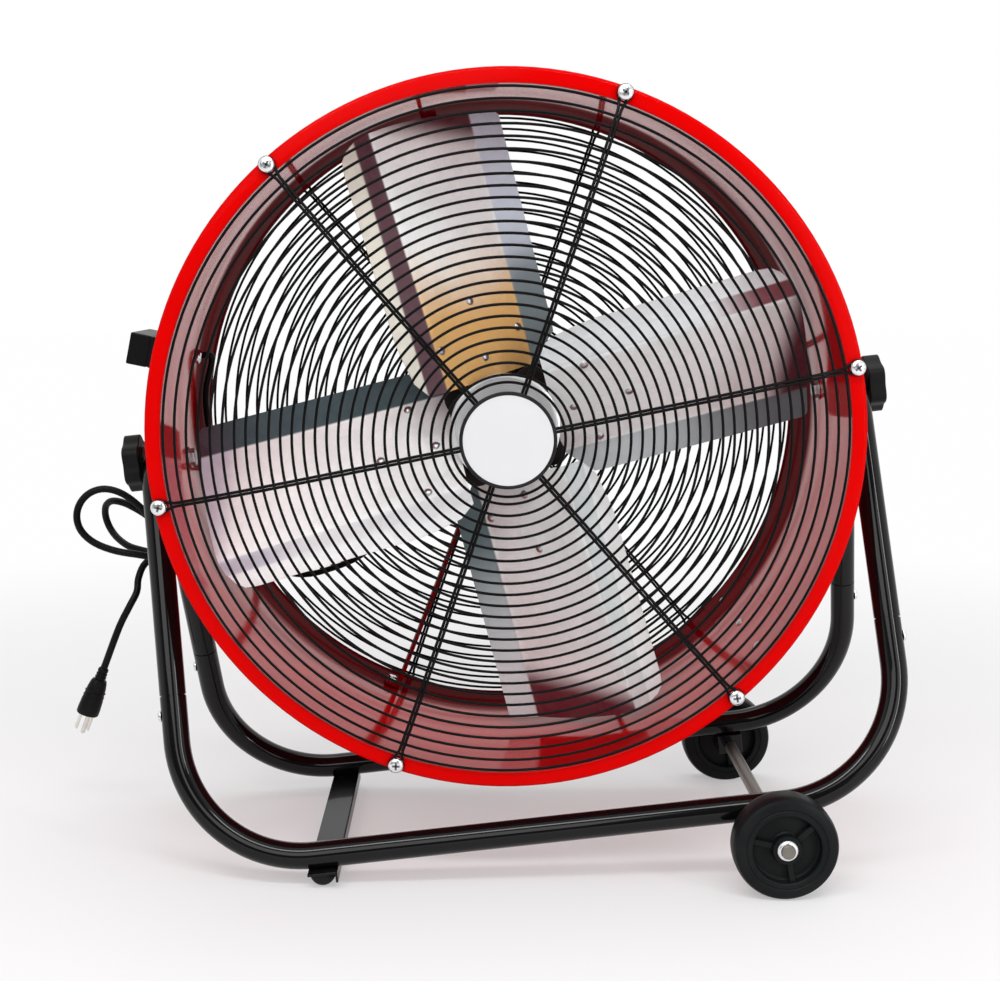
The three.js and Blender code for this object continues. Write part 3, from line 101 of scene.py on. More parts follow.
# The cord's middle line in metres, as the CAD solids have it with its joints rounded off: from the
# strain relief to the hank, round the hank and down to the plug
CORD_ROUTE = [
    (-0.33951, 0.04, 0.44709), (-0.34097, 0.04, 0.44004), (-0.34395, 0.0435, 0.42212),
    (-0.34693, 0.052, 0.39364), (-0.34949, 0.061, 0.36118), (-0.3526, 0.07089, 0.32503),
    (-0.35383, 0.07604, 0.30709), (-0.35228, 0.08254, 0.28971), (-0.34262, 0.09273, 0.27794),
    (-0.32974, 0.10519, 0.27267), (-0.31784, 0.11923, 0.26937), (-0.30771, 0.1347, 0.26662),
    (-0.29959, 0.1506, 0.26118), (-0.29576, 0.1637, 0.25232), (-0.29715, 0.17137, 0.24113),
    (-0.3028, 0.17284, 0.22994), (-0.31096, 0.16831, 0.22145), (-0.31975, 0.15842, 0.21816),
    (-0.32766, 0.14414, 0.22171), (-0.33407, 0.12673, 0.23239), (-0.33992, 0.10783, 0.24891),
    (-0.35122, 0.09055, 0.26693), (-0.3792, 0.08129, 0.27424), (-0.40706, 0.07823, 0.2797),
    (-0.42878, 0.07692, 0.28858), (-0.44208, 0.0765, 0.30127), (-0.44628, 0.07673, 0.3163),
    (-0.44215, 0.07752, 0.33083), (-0.4314, 0.07881, 0.34141), (-0.41627, 0.08054, 0.34485),
    (-0.39889, 0.0827, 0.33913), (-0.38096, 0.0854, 0.32406), (-0.36368, 0.08936, 0.30177),
    (-0.34756, 0.09829, 0.27983), (-0.32995, 0.11585, 0.27422), (-0.31547, 0.13644, 0.27093),
    (-0.30593, 0.15457, 0.26505), (-0.30196, 0.168, 0.25601), (-0.30337, 0.17563, 0.24483),
    (-0.30902, 0.1771, 0.23365), (-0.31718, 0.17257, 0.22515), (-0.32595, 0.16271, 0.22185),
    (-0.33467, 0.14614, 0.22663), (-0.34061, 0.12986, 0.23676), (-0.34529, 0.11308, 0.25226),
    (-0.35552, 0.09859, 0.26794), (-0.37562, 0.09357, 0.27567), (-0.39567, 0.10147, 0.27951),
    (-0.40687, 0.10809, 0.28426), (-0.41654, 0.1161, 0.29091), (-0.42325, 0.11938, 0.30078),
    (-0.42588, 0.11768, 0.31236), (-0.42348, 0.11165, 0.3227), (-0.41601, 0.1037, 0.32868),
    (-0.40504, 0.09692, 0.32893), (-0.39303, 0.09491, 0.32444), (-0.37682, 0.09881, 0.31289),
    (-0.36314, 0.09919, 0.29749), (-0.35054, 0.10654, 0.28242), (-0.33543, 0.12158, 0.27739),
    (-0.32256, 0.14055, 0.27444), (-0.31258, 0.15927, 0.26901), (-0.30897, 0.17285, 0.26018),
    (-0.31076, 0.1807, 0.24923), (-0.3168, 0.18242, 0.23828), (-0.32534, 0.17817, 0.23),
    (-0.33445, 0.1686, 0.22691), (-0.34259, 0.15471, 0.2306), (-0.34788, 0.1396, 0.24156),
    (-0.35113, 0.1285, 0.25043), (-0.355, 0.1196, 0.26154), (-0.36332, 0.11106, 0.26801),
    (-0.37408, 0.10335, 0.26759), (-0.38297, 0.09739, 0.26034), (-0.38766, 0.09199, 0.24732),
    (-0.38814, 0.08453, 0.23482), (-0.39478, 0.077, 0.22056), (-0.40557, 0.075, 0.19929),
    (-0.42024, 0.075, 0.16217), (-0.42287, 0.075, 0.15547),
]
# The motor's own lead, as angle round the drum, radius and depth
MOTOR_LEAD_ROUTE = [
    (219.5, 68.6, 126), (219.5, 92.0, 127), (219.6, 135.0, 129), (219.9, 208.1, 133), (216.8, 250.4, 137),
    (212.2, 286.4, 140), (204.3, 306.2, 138), (189.5, 306.2, 116), (177, 306.2, 92), (169, 306.2, 70),
    (162.2, 303, 62), (162.2, 314.4, 62),
]


# Settings that a user would change
def length(name, description, millimetres):
    return FloatProperty(
        name=name, description=description, default=millimetres * MILLI, min=0.0, unit="LENGTH", precision=4
    )


def colour(name, description, value):
    return FloatVectorProperty(
        name=name, description=description, default=value, size=3, subtype="COLOR", min=0.0, max=1.0
    )


class FanSizes(bpy.types.PropertyGroup):
    wire_radius: length("Guard wire radius", "Radius of the guards' ring wires", 1.3)
    spoke_radius: length("Spoke wire radius", "Radius of the guards' doubled spoke wires", 1.4)
    blade_sheet: length("Blade sheet", "Thickness of the blades' sheet metal", 1.6)
    tube_radius: length("Stand tube radius", "Outer radius of the stand's bent tubes", 12.5)
    cord_radius: length("Cord radius", "Radius of the mains cord", 3.75)
    badge_radius: length("Badge radius", "Radius of the round badge on the front guard", 43.6)
    turns: IntProperty(
        name="Steps round the drum", description="Steps of the drum's and the rings' full turn", default=144, min=24
    )


class FanColours(bpy.types.PropertyGroup):
    drum_red: colour("Drum red", "Enamel on the drum and the motor's struts", (0.56, 0.0010, 0.0010))
    stand_black: colour("Stand black", "Enamel on the stand's tubes", (0.0025, 0.0025, 0.003))
    wire_black: colour("Wire black", "Enamel on the guards", (0.0030, 0.0030, 0.0034))
    blade_zinc: colour("Blade zinc", "Galvanised sheet of the blades", (0.92, 1.0, 0.99))
    moulded_black: colour("Moulded black", "Plastic of the knobs and wheels", (0.005, 0.0055, 0.006))
    cord_black: colour("Cord black", "Jacket of the mains cord", (0.004, 0.004, 0.0045))
    badge_white: colour("Badge white", "Face of the round badge", (0.57, 0.57, 0.58))


# Shader sums
class Field:
    """A shader socket that can be added and multiplied; each sum adds its Math node."""

    def __init__(self, tree, socket):
        self.tree = tree
        self.socket = socket

    def math(self, operation, first, second, clamp=False):
        node = self.tree.nodes.new("ShaderNodeMath")
        node.operation = operation
        node.use_clamp = clamp
        for place, value in zip(node.inputs, (first, second)):
            feed(self.tree, place, value)
        return Field(self.tree, node.outputs[0])

    def __add__(self, other):
        return self.math("ADD", self, other)

    __radd__ = __add__

    def __sub__(self, other):
        return self.math("SUBTRACT", self, other)

    def __rsub__(self, other):
        return self.math("SUBTRACT", other, self)

    def __mul__(self, other):
        return self.math("MULTIPLY", self, other)

    __rmul__ = __mul__

    def __truediv__(self, other):
        return self.math("DIVIDE", self, other)

    def __pow__(self, other):
        return self.math("POWER", self, other)

    def between(self, low, high):
        """0 below low, 1 above high and smooth between them."""
        share = self.math("DIVIDE", self - low, high - low, clamp=True)
        return share * share * (3 - 2 * share)

    def clipped(self):
        return self.math("ADD", self, 0.0, clamp=True)


def feed(tree, place, value):
    if isinstance(value, Field):
        tree.links.new(value.socket, place)
    else:
        place.default_value = value


class Finish:
    """A material in the making: its node tree and its Principled shader."""

    def __init__(self, name, base, roughness, metallic=0.0, **more):
        self.material = bpy.data.materials.new(name)
        self.material.use_nodes = True
        self.tree = self.material.node_tree
        self.shader = self.tree.nodes["Principled BSDF"]
        self.set(Base_Color=(*base, 1.0))
        self.set(Roughness=roughness, Metallic=metallic, **more)
        self.place = self.node("TexCoord", out="Object")

    def set(self, **values):
        for name, value in values.items():
            feed(self.tree, self.shader.inputs[name.replace("_", " ")], value)

    def node(self, kind, settings=(), values=(), out=0):
        node = self.tree.nodes.new("ShaderNode" + kind)
        for name, value in dict(settings).items():
            setattr(node, name, value)
        for name, value in dict(values).items():
            feed(self.tree, node.inputs[name], value)
        return Field(self.tree, node.outputs[out])

    def mapped(self, scale=(1, 1, 1), turn=(0, 0, 0), shift=(0, 0, 0)):
        return self.node(
            "Mapping", {"vector_type": "POINT"},
            {"Vector": self.place, "Scale": scale, "Rotation": turn, "Location": shift},
        )

    def noise(self, scale, detail, at=None):
        values = {"Vector": at or self.place, "Scale": scale, "Detail": detail, "Roughness": 0.55}
        return self.node("TexNoise", {}, values)

    def cells(self, scale, out="Color"):
        return self.node("TexVoronoi", {"feature": "F1"}, {"Vector": self.place, "Scale": scale}, out)

    def axes(self, at=None):
        split = self.tree.nodes.new("ShaderNodeSeparateXYZ")
        feed(self.tree, split.inputs[0], at or self.place)
        return [Field(self.tree, socket) for socket in split.outputs]

    def from_axis(self):
        """The depth and height from the drum's middle, and the distance from its axis."""
        across, depth, height = self.axes(self.mapped(shift=[-place for place in TILT["pos_m"]]))
        return depth, height, (across * across + height * height) ** 0.5

    def mix(self, factor, first, second):
        rgba = [value if isinstance(value, Field) else (*value[:3], 1.0) for value in (first, second)]
        node = self.tree.nodes.new("ShaderNodeMix")
        node.data_type = "RGBA"
        for index, value in zip((0, 6, 7), (factor, *rgba)):
            feed(self.tree, node.inputs[index], value)
        return Field(self.tree, node.outputs[2])

    def bump(self, height, depth, strength=1.0):
        """Raises the surface by height times depth, which is in millimetres."""
        node = self.node("Bump", {}, {"Height": height, "Distance": depth * MILLI, "Strength": strength}, "Normal")
        self.set(Normal=node)


def shade(value, factor):
    return tuple(min(1.0, channel * factor) for channel in value)


def tone(red, green, blue):
    """A colour given as it shows on a screen, 0 to 255."""
    return tuple(((channel / 255 + 0.055) / 1.055) ** 2.4 for channel in (red, green, blue))


def red_enamel(red, name="red_enamel", wall=True):
    """Gloss enamel. The drum's inner wall is shinier near its mouth; it is painted a little darker than the
    outside, as painted shade, and darker still and less shiny behind the blades, as a painted shadow.
    """
    finish = Finish(name, red, 0.24, Specular_IOR_Level=0.0, Coat_Weight=0.12, Coat_Roughness=0.10)
    cloud = finish.noise(5.0, 4.0)
    plain = finish.mix((cloud - 0.35) * 1.6, shade(red, 0.92), shade(red, 1.05))
    if wall:
        depth, height, distance = finish.from_axis()
        inside = 1 - distance.between((DRUM_INNER + 0.4) * MILLI, (DRUM_INNER + 1.2) * MILLI)
        # Painted shadow: the back of the inner wall turns dark maroon and loses its coat, its edge slanting as if
        # lit from above the front.
        painted_shadow_band = (depth + height * 0.13).between(0.022, 0.050)
        # Painted shade: the inner wall's red is a little darker than the outside's.
        inner_painted_shade = finish.mix((cloud - 0.3) * 1.8, shade(red, 0.84), shade(red, 0.98))
        inner_painted_shade = finish.mix(painted_shadow_band, inner_painted_shade, (0.150, 0.0008, 0.003))
        plain = finish.mix(inside, plain, inner_painted_shade)
        rim = distance.between((DRUM_RIM - 3.9) * MILLI, (DRUM_RIM - 2.4) * MILLI)
        finish.set(Coat_Weight=0.04 + inside * (1 - painted_shadow_band) * 0.72 + rim * 0.06)
    finish.set(Base_Color=plain, Roughness=0.20 + cloud * 0.10)
    finish.bump(finish.noise(900.0, 2.0) + finish.noise(140.0, 2.0) * 0.8, 0.04, 0.4)
    return finish.material


def black_enamel(name, base, roughness, coat):
    finish = Finish(name, base, roughness, Specular_IOR_Level=0.05, Coat_Weight=coat, Coat_Roughness=0.05)
    cloud = finish.noise(9.0, 4.0)
    dust = (finish.noise(420.0, 3.0) - 0.60) * 6.0
    finish.set(Base_Color=finish.mix(dust.clipped() * 0.16, base, (0.03, 0.03, 0.03)))
    finish.set(Roughness=roughness + (cloud - 0.5) * 0.10)
    finish.bump(finish.noise(650.0, 2.0), 0.03, 0.4)
    return finish.material


def zinc_sheet_with_painted_light(name, face, trail, riser, lip, tip, tan=0.0):
    """Galvanised sheet with flat crystals, and with painted reflections and painted shade: a tone on each facet
    between two folds.

    face is the middle facet's; trail and riser, painted reflections and shade on those facets, are given at the tip
    and at the root, and trail with the stretch in which it changes; lip is the leading edge's tone of painted
    light; tip is (tone, start, strength) of a painted reflection in the corner that is darkest; tan is how strongly
    a painted tan reflection covers the face near the hub.
    """
    finish = Finish(name, face, 0.5, 0.10, Specular_IOR_Level=0.30)
    sheet = finish.node("UVMap", {"uv_map": "sheet"})
    across, out, _ = finish.axes(sheet)
    share = (out - BLADE_ROOT * MILLI) / ((BLADE_TIP - BLADE_ROOT) * MILLI)
    crystal = finish.axes(finish.cells(75.0))[0]
    small = finish.axes(finish.cells(190.0))[1]
    cloud = finish.noise(14.0, 5.0)

    def past(fold, flare):
        return (across - fold * MILLI - share * (flare * MILLI)).between(-1.2 * MILLI, 1.2 * MILLI)

    past_trail, past_lead, past_lip = past(FOLD, FOLD_FLARE), past(-FOLD, -FOLD_FLARE), past(-LIP, -LIP_FLARE)
    colour_now = finish.mix(cloud, shade(face, 0.94), shade(face, 1.06))
    if tan:
        # Painted reflection: the face turns tan near the hub.
        tan_reflection_near_hub = 1 - (share + (cloud - 0.5) * 0.25).between(0.20, 0.62)
        colour_now = finish.mix((tan_reflection_near_hub * tan).clipped(), colour_now, tone(222, 170, 88))
    # Painted reflection in the corner at the tip.
    edge = (share + across * 1.4).between(tip[1], tip[1] + 0.12)
    colour_now = finish.mix(edge * tip[2], colour_now, tip[0])
    # Painted reflections and shade on the trailing facet, changing from the root to the tip.
    outwards = (share + (cloud - 0.5) * 0.2).between(*trail[2:])
    colour_now = finish.mix(past_trail, colour_now, finish.mix(outwards, trail[1], trail[0]))
    # Painted reflections and shade on the riser and the leading lip.
    fold = finish.mix((share + (cloud - 0.5) * 0.1).between(0.60, 0.86), riser[1], riser[0])
    colour_now = finish.mix(1 - past_lead, colour_now, finish.mix(past_lip, lip, fold))
    grain = (crystal * 0.6 + small * 0.4) * 0.13
    finish.set(Base_Color=finish.mix(grain, colour_now, (0.22, 0.24, 0.25)))
    finish.set(Roughness=0.42 + crystal * 0.10 + small * 0.08)
    finish.bump(crystal * 0.5 + finish.noise(500.0, 3.0) * 0.6, 0.04, 0.5)
    return finish.material


def turned_steel(name, base, roughness, spacing):
    """Bare steel with the fine rings that a lathe leaves round the shaft."""
    finish = Finish(name, base, roughness, 0.75)
    distance = finish.from_axis()[2]
    rings = finish.node("Math", {"operation": "SINE"}, {0: distance * (2 * math.pi / (spacing * MILLI))})
    patch = finish.noise(60.0, 4.0)
    finish.set(Base_Color=finish.mix(rings * 0.2 + patch * 0.7, shade(base, 0.86), shade(base, 1.08)))
    finish.set(Roughness=roughness + patch * 0.12 + rings * 0.03)
    finish.bump(rings * 0.5 + patch, 0.012, 0.5)
    return finish.material


def bright_plate(name, base, roughness):
    finish = Finish(name, base, roughness, 1.0)
    patch = finish.noise(180.0, 4.0)
    scratch = finish.noise(90.0, 3.0, at=finish.mapped(scale=(1, 14, 1), turn=(0.3, 0.2, 0.5)))
    finish.set(Base_Color=finish.mix(patch, shade(base, 0.82), shade(base, 1.08)))
    finish.set(Roughness=roughness + patch * 0.10 + scratch * 0.06)
    finish.bump(scratch + patch * 0.4, 0.015, 0.5)
    return finish.material


def moulded(name, base, roughness, grain=900.0, worn=0.35):
    """Moulded plastic or rubber with a fine leather grain and a little dust in it."""
    finish = Finish(name, base, roughness, Specular_IOR_Level=0.10)
    pebble = finish.cells(grain, "Distance")
    cloud = finish.noise(22.0, 5.0)
    lighter = tuple(channel + 0.014 for channel in base)
    finish.set(Base_Color=finish.mix(((cloud - 0.42) * 2.4).clipped() * worn, base, lighter))
    finish.set(Roughness=roughness + (cloud - 0.5) * 0.16)
    finish.bump(pebble + finish.noise(grain * 0.5, 2.0) * 0.5, 0.05, 0.45)
    return finish.material


def white_face(base):
    finish = Finish("badge_white", base, 0.34, Coat_Weight=0.25, Coat_Roughness=0.12)
    cloud = finish.noise(30.0, 4.0)
    finish.set(Base_Color=finish.mix(cloud, shade(base, 0.97), shade(base, 1.02)))
    finish.bump(finish.noise(1400.0, 2.0), 0.01, 0.3)
    return finish.material


# Shapes, each a bmesh in millimetres
def outward(shape):
    bmesh.ops.recalc_face_normals(shape, faces=shape.faces)
    return shape


def spun(shape, geometry, steps, turn=2 * math.pi, closed=True):
    """Turns the geometry about the Y axis, and joins the end to the start where it is closed."""
    bmesh.ops.spin(
        shape, geom=geometry, cent=(0, 0, 0), axis=(0, 1, 0), dvec=(0, 0, 0), angle=turn, steps=steps,
        use_merge=closed, use_normal_flip=False, use_duplicate=False,
    )


def rounded(shape, width, segments):
    bmesh.ops.bevel(
        shape, geom=shape.edges[:], offset=width, offset_type="OFFSET", segments=segments, profile=0.5,
        affect="EDGES", material=-1,
    )
    return shape


def turned(profile, steps=48):
    """A profile of (radius, depth) turned about the Y axis, left open where it starts and ends on it."""
    shape = bmesh.new()
    corners = [shape.verts.new((radius, depth, 0)) for radius, depth in profile]
    closed = abs(profile[0][0]) > 1e-6 or abs(profile[-1][0]) > 1e-6
    pairs = list(zip(corners, corners[1:] + corners[:1] if closed else corners[1:]))
    edges = [shape.edges.new(pair) for pair in pairs]
    spun(shape, corners + edges, steps)
    bmesh.ops.remove_doubles(shape, verts=shape.verts, dist=1e-4)
    return outward(shape)


def bar(low, high, rounding=0.0, segments=2):
    shape = bmesh.new()
    bmesh.ops.create_cube(shape, size=1.0)
    low, high = Vector(low), Vector(high)
    bmesh.ops.scale(shape, vec=high - low, verts=shape.verts)
    bmesh.ops.translate(shape, vec=(low + high) / 2, verts=shape.verts)
    return rounded(shape, rounding, segments) if rounding else shape


def rod(radius, start, end, sides):
    shape = bmesh.new()
    start, end = Vector(start), Vector(end)
    bmesh.ops.create_cone(
        shape, cap_ends=True, segments=sides, radius1=radius, radius2=radius, depth=(end - start).length,
    )
    turn = (end - start).to_track_quat("Z", "Y").to_matrix().to_4x4()
    bmesh.ops.transform(shape, matrix=Matrix.Translation((start + end) / 2) @ turn, verts=shape.verts)
    return shape


def plate(outline, near, far):
    """A flat outline of (x, z) corners with its thickness from near to far along Y."""
    shape = bmesh.new()
    face = shape.faces.new([shape.verts.new((across, near, high)) for across, high in outline])
    pushed = bmesh.ops.extrude_face_region(shape, geom=[face])["geom"]
    pushed = [part for part in pushed if isinstance(part, bmesh.types.BMVert)]
    bmesh.ops.translate(shape, vec=(0, far - near, 0), verts=pushed)
    return outward(shape)


def wire(points, radius, roundness):
    """A round wire that follows the points, made as a curve and turned into a mesh."""
    line = bpy.data.curves.new("wire", "CURVE")
    line.dimensions = "3D"
    line.bevel_depth = radius
    line.bevel_resolution = roundness
    line.use_fill_caps = True
    spline = line.splines.new("POLY")
    spline.points.add(len(points) - 1)
    for place, point in zip(spline.points, points):
        place.co = (*point, 1)
    holder = bpy.data.objects.new("wire", line)
    mesh = bpy.data.meshes.new_from_object(holder)
    shape = bmesh.new()
    shape.from_mesh(mesh)
    bpy.data.objects.remove(holder)
    bpy.data.curves.remove(line)
    bpy.data.meshes.remove(mesh)
    bmesh.ops.remove_doubles(shape, verts=shape.verts, dist=1e-5)
    return outward(shape)


def mesh_from(name, shape):
    mesh = bpy.data.meshes.new(name)
    shape.to_mesh(mesh)
    shape.free()
    return mesh


def hold(name, data):
    """Puts a mesh, lamp or camera into the scene as an object."""
    holder = bpy.data.objects.new(name, data)
    bpy.context.scene.collection.objects.link(holder)
    return holder


def gather(whole, *shapes):
    """Puts the other shapes into the first one."""
    for shape in shapes:
        mesh = mesh_from("part", shape)
        whole.from_mesh(mesh)
        bpy.data.meshes.remove(mesh)
    return whole


def turning(degrees, axis):
    return Matrix.Rotation(math.radians(degrees), 4, axis)


def shifted(across, depth, height):
    return Matrix.Translation((across, depth, height))


def put(shape, matrix):
    bmesh.ops.transform(shape, matrix=matrix, verts=shape.verts)
    return shape


def turn_to(angle, radius=0.0, depth=0.0):
    """The place at an angle round the drum: X points outwards and Z along the rim."""
    return turning(-angle, "Y") @ shifted(radius, depth, 0)


def finished(name, shape, material, body, nodes=(), bevel=0.0, sharp=35, place=REST, segments=2):
    """Makes the shape an object in metres at its place, riding on a body and standing for CAD nodes."""
    put(shape, place)
    for edge in shape.edges:
        if len(edge.link_faces) == 2:
            edge.smooth = edge.calc_face_angle(0) < math.radians(sharp)
    for face in shape.faces:
        face.smooth = True
    piece = hold(name, mesh_from(name, shape))
    piece.data.materials.append(material)
    if bevel:
        rounding = piece.modifiers.new("rounded_edges", "BEVEL")
        rounding.width = bevel * MILLI
        rounding.segments = segments
        rounding.limit_method = "ANGLE"
        rounding.angle_limit = math.radians(sharp)
        rounding.harden_normals = True
    if body:
        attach(piece, body)
    if nodes:
        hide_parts(*nodes)
    return piece


def bent(corners, radius, steps):
    """A line through the corners with each inner corner rounded to the bend radius."""
    corners = [Vector(corner) for corner in corners]
    points = [corners[0]]
    for before, corner, after in zip(corners, corners[1:], corners[2:]):
        come, go = (corner - before).normalized(), (after - corner).normalized()
        half = come.angle(go) / 2
        start = corner - come * radius * math.tan(half)
        centre = start + (go - come * come.dot(go)).normalized() * radius
        axis = come.cross(go).normalized()
        for step in range(steps + 1):
            turn = Matrix.Rotation(2 * half * step / steps, 3, axis)
            points.append(centre + turn @ (start - centre))
    return points + [corners[-1]]


def smooth(points, parts):
    """A Catmull-Rom line through the points, with each stretch cut into equal parts."""
    points = [Vector(point) for point in points]
    line = []
    for index in range(len(points) - 1):
        a = points[max(index - 1, 0)]
        b, c = points[index], points[index + 1]
        d = points[min(index + 2, len(points) - 1)]
        bend, twist = 2 * a - 5 * b + 4 * c - d, 3 * b - a - 3 * c + d
        for part in range(parts):
            t = part / parts
            line.append(0.5 * (2 * b + (c - a) * t + bend * t * t + twist * t * t * t))
    return line + [points[-1]]


def around(angle, radius, depth):
    angle = math.radians(angle)
    return Vector((radius * math.cos(angle), depth, radius * math.sin(angle)))


def leg_point(side, face, drop):
    return Vector((side * (ARCH_REACH - drop * LEG_SPLAY), face * (CROWN_RISE + drop) * LEG_LEAN, -drop))


def mirrored(half):
    """Half of a profile and then its other half, with the depths' signs turned."""
    return half + [(radius, -depth) for radius, depth in reversed(half)]


def lobed(steps, radius):
    """A closed outline whose radius follows the angle."""
    turns = [2 * math.pi * step / steps for step in range(steps)]
    return [(radius(turn) * math.cos(turn), radius(turn) * math.sin(turn)) for turn in turns]


def pan_head(radius, height, seat=0.0):
    """A pan-head screw's head, seated at seat and rising along +Y."""
    crown = [(0, 0), (1, 0), (1, 0.35), (0.93, 0.68), (0.72, 0.9), (0.42, 1), (0, 1)]
    return turned([(radius * out, seat + height * rise) for out, rise in crown], 24)


def cross(radius, top):
    """The cross recess of a pan head, as a dark cross that just shows in its crown: painted shade standing in for
    the recess, which is not cut.
    """
    return gather(*[bar((-across, top - 0.5, -along), (across, top + 0.06, along), 0.04, 1)
                    for across, along in ((radius * 0.5, radius * 0.14), (radius * 0.14, radius * 0.5))])


def hex_head(radius, height):
    return rounded(rod(radius, (0, 0, 0), (0, height, 0), 6), radius * 0.07, 2)


class Piece:
    """What every step of the fan shares: the sizes and colours set in the panel."""

    bl_options = {"REGISTER", "UNDO"}

    def execute(self, context):
        self.sizes = context.scene.fan_sizes
        self.colours = context.scene.fan_colours
        self.make()
        return {"FINISHED"}

    def mm(self, name):
        return getattr(self.sizes, name) / MILLI


class FAN_OT_camera(Piece, bpy.types.Operator):
    """Place the camera in front of the fan, a little above its middle"""

    bl_idname = "fan.camera"
    bl_label = "Camera"

    def make(self):
        camera = bpy.data.cameras.new("camera")
        camera.sensor_fit = "HORIZONTAL"
        camera.sensor_width = 36.0
        camera.lens = 57.74
        holder = hold("camera", camera)
        holder.location = (-0.0366, -1.5817, 0.5693)
        holder.rotation_euler = [math.radians(angle) for angle in (90 - 7.78, 0, -1.07)]
        bpy.context.scene.camera = holder


class FAN_OT_cord(Piece, bpy.types.Operator):
    """Make the mains cord with its plug, folded into a tied hank, and the motor's own lead"""

    bl_idname = "fan.cord"
    bl_label = "Cord and plug"

    def plug(self, jacket):
        neck, tip = Vector((-446, 75, -219)), Vector((-482, 75, -288))
        turn = Vector((0, 1, 0)).rotation_difference((tip - neck).normalized()).to_matrix().to_4x4()
        place = REST @ Matrix.Translation(neck) @ turn
        flat = Matrix.Diagonal((1, 1, 0.86, 1))
        taper = [(0, 0.1), (4.6, 0.1), (5.4, 1.0)]
        for ring in range(3):
            wide, narrow, start = 5.5 + 0.25 * ring, 4.6 + 0.3 * ring, 3.6 * ring
            taper += [(wide, 2.2 + start), (wide, 4.0 + start), (narrow, 4.4 + start), (narrow, 5.6 + start)]
        taper += [(7.4, 13.4), (8.6, 16), (9.8, 22), (10.6, 30), (11.4, 38), (11.9, 46), (11.9, 51.6), (11.0, 53),
                  (0, 53)]
        shape = put(turned(taper, 48), flat)
        for ring in range(4):
            rib = turned([(10.0, 26 + 5 * ring), (11.2 + 0.15 * ring, 27 + 5 * ring), (10.0, 28 + 5 * ring)], 48)
            shape = gather(shape, put(rib, flat))
        body = finished("mains_plug", shape, jacket, "stand", ["cord_plug"], place=place, sharp=40)
        prongs = [bar((across - 0.75, 52.5, -3.15), (across + 0.75, 70.5, 3.15), 0.35) for across in (-6.35, 6.35)]
        ground = turned([(0, 52.5), (2.4, 52.5), (2.4, 71), (1.6, 72.6), (0, 73)], 20)
        prongs.append(put(ground, shifted(0, 0, -6)))
        nickel = bright_plate("prong_nickel", (0.74, 0.72, 0.66), 0.24)
        return body, finished("plug_prongs", gather(*prongs), nickel, "stand", place=place)

    def make(self):
        jacket = moulded("cord_jacket", tuple(self.colours.cord_black), 0.36, 1500.0)
        line = smooth(CORD_ROUTE, 4)
        shape = wire(line, self.sizes.cord_radius, roundness=4)
        cord = finished(
            "mains_cord", shape, jacket, None, ["cord_lead", "cord_hank", "cord_tail"],
            place=Matrix.Identity(4), sharp=60,
        )
        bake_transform(cord)
        tie = frame["nodes"]["cord_tie"]
        tie.data.materials.clear()
        tie.data.materials.append(moulded("tie_nylon", (0.005, 0.005, 0.006), 0.38, 1200.0))
        run = sum((after - before).length for before, after in zip(line, line[1:]))
        self.plug(jacket)
        lead = wire(smooth([around(*place) for place in MOTOR_LEAD_ROUTE], 5), 3.25, roundness=4)
        finished("motor_cable", lead, jacket, "head", ["motor_lead"], sharp=60)


class FAN_OT_drum(Piece, bpy.types.Operator):
    """Make the rolled drum with its flanges, lap seam and rivets"""

    bl_idname = "fan.drum"
    bl_label = "Drum"

    def make(self):
        red = red_enamel(tuple(self.colours.drum_red))
        inner, wall, rim, sheet, hem = DRUM_INNER, 1.5, DRUM_RIM, 2.0, 6.0
        profile = [
            (inner, -FRONT), (rim - 3.6, -FRONT), (rim - 1.8, 0.5 - FRONT), (rim - 0.5, 1.8 - FRONT),
            (rim, 3.6 - FRONT), (rim, hem - FRONT), (rim - sheet, hem - FRONT),
            (rim - sheet, sheet - FRONT), (inner + wall, sheet - FRONT), (inner + wall, REAR - sheet),
            (rim - sheet, REAR - sheet), (rim - sheet, REAR - hem), (rim, REAR - hem), (rim, REAR), (inner, REAR),
        ]
        shell = turned(profile, self.sizes.turns)
        lap = bmesh.new()
        edge = [lap.verts.new(around(309.5, radius, depth)) for radius, depth in (
            (inner - 0.9, 4 - FRONT), (inner + 0.2, 4 - FRONT), (inner + 0.2, REAR - 4), (inner - 0.9, REAR - 4))]
        face = lap.faces.new(edge)
        spun(lap, [face], 6, -math.radians(10.5), closed=False)
        finished("drum_skin", gather(shell, outward(lap)), red, "head", ["drum_shell"], bevel=0.9,
                 segments=3)
        heads = []
        for depth in (-100, 0, 110):
            heads.append(put(turned([(0, 0), (4.2, 0), (3.9, 1.2), (2.6, 2.0), (0, 2.3)], 16),
                             turn_to(313.5, inner - 0.9, depth) @ turning(90, "Z")))
        finished("drum_rivets", gather(*heads), bright_plate("rivet_steel", (0.62, 0.60, 0.60), 0.3), "head")


def ring_places():
    rings = [51.4, 58.1] + [68.7 + 10.33 * ring for ring in range(18)]
    return rings + [rings[-1] + 11 * ring for ring in range(1, 7)]


def guard_stand(radius):
    """How far a guard's wires stand out from its flange at a radius."""
    return 2.8 + 17.5 * (1 - (radius / GUARD_RADIUS) ** 6)


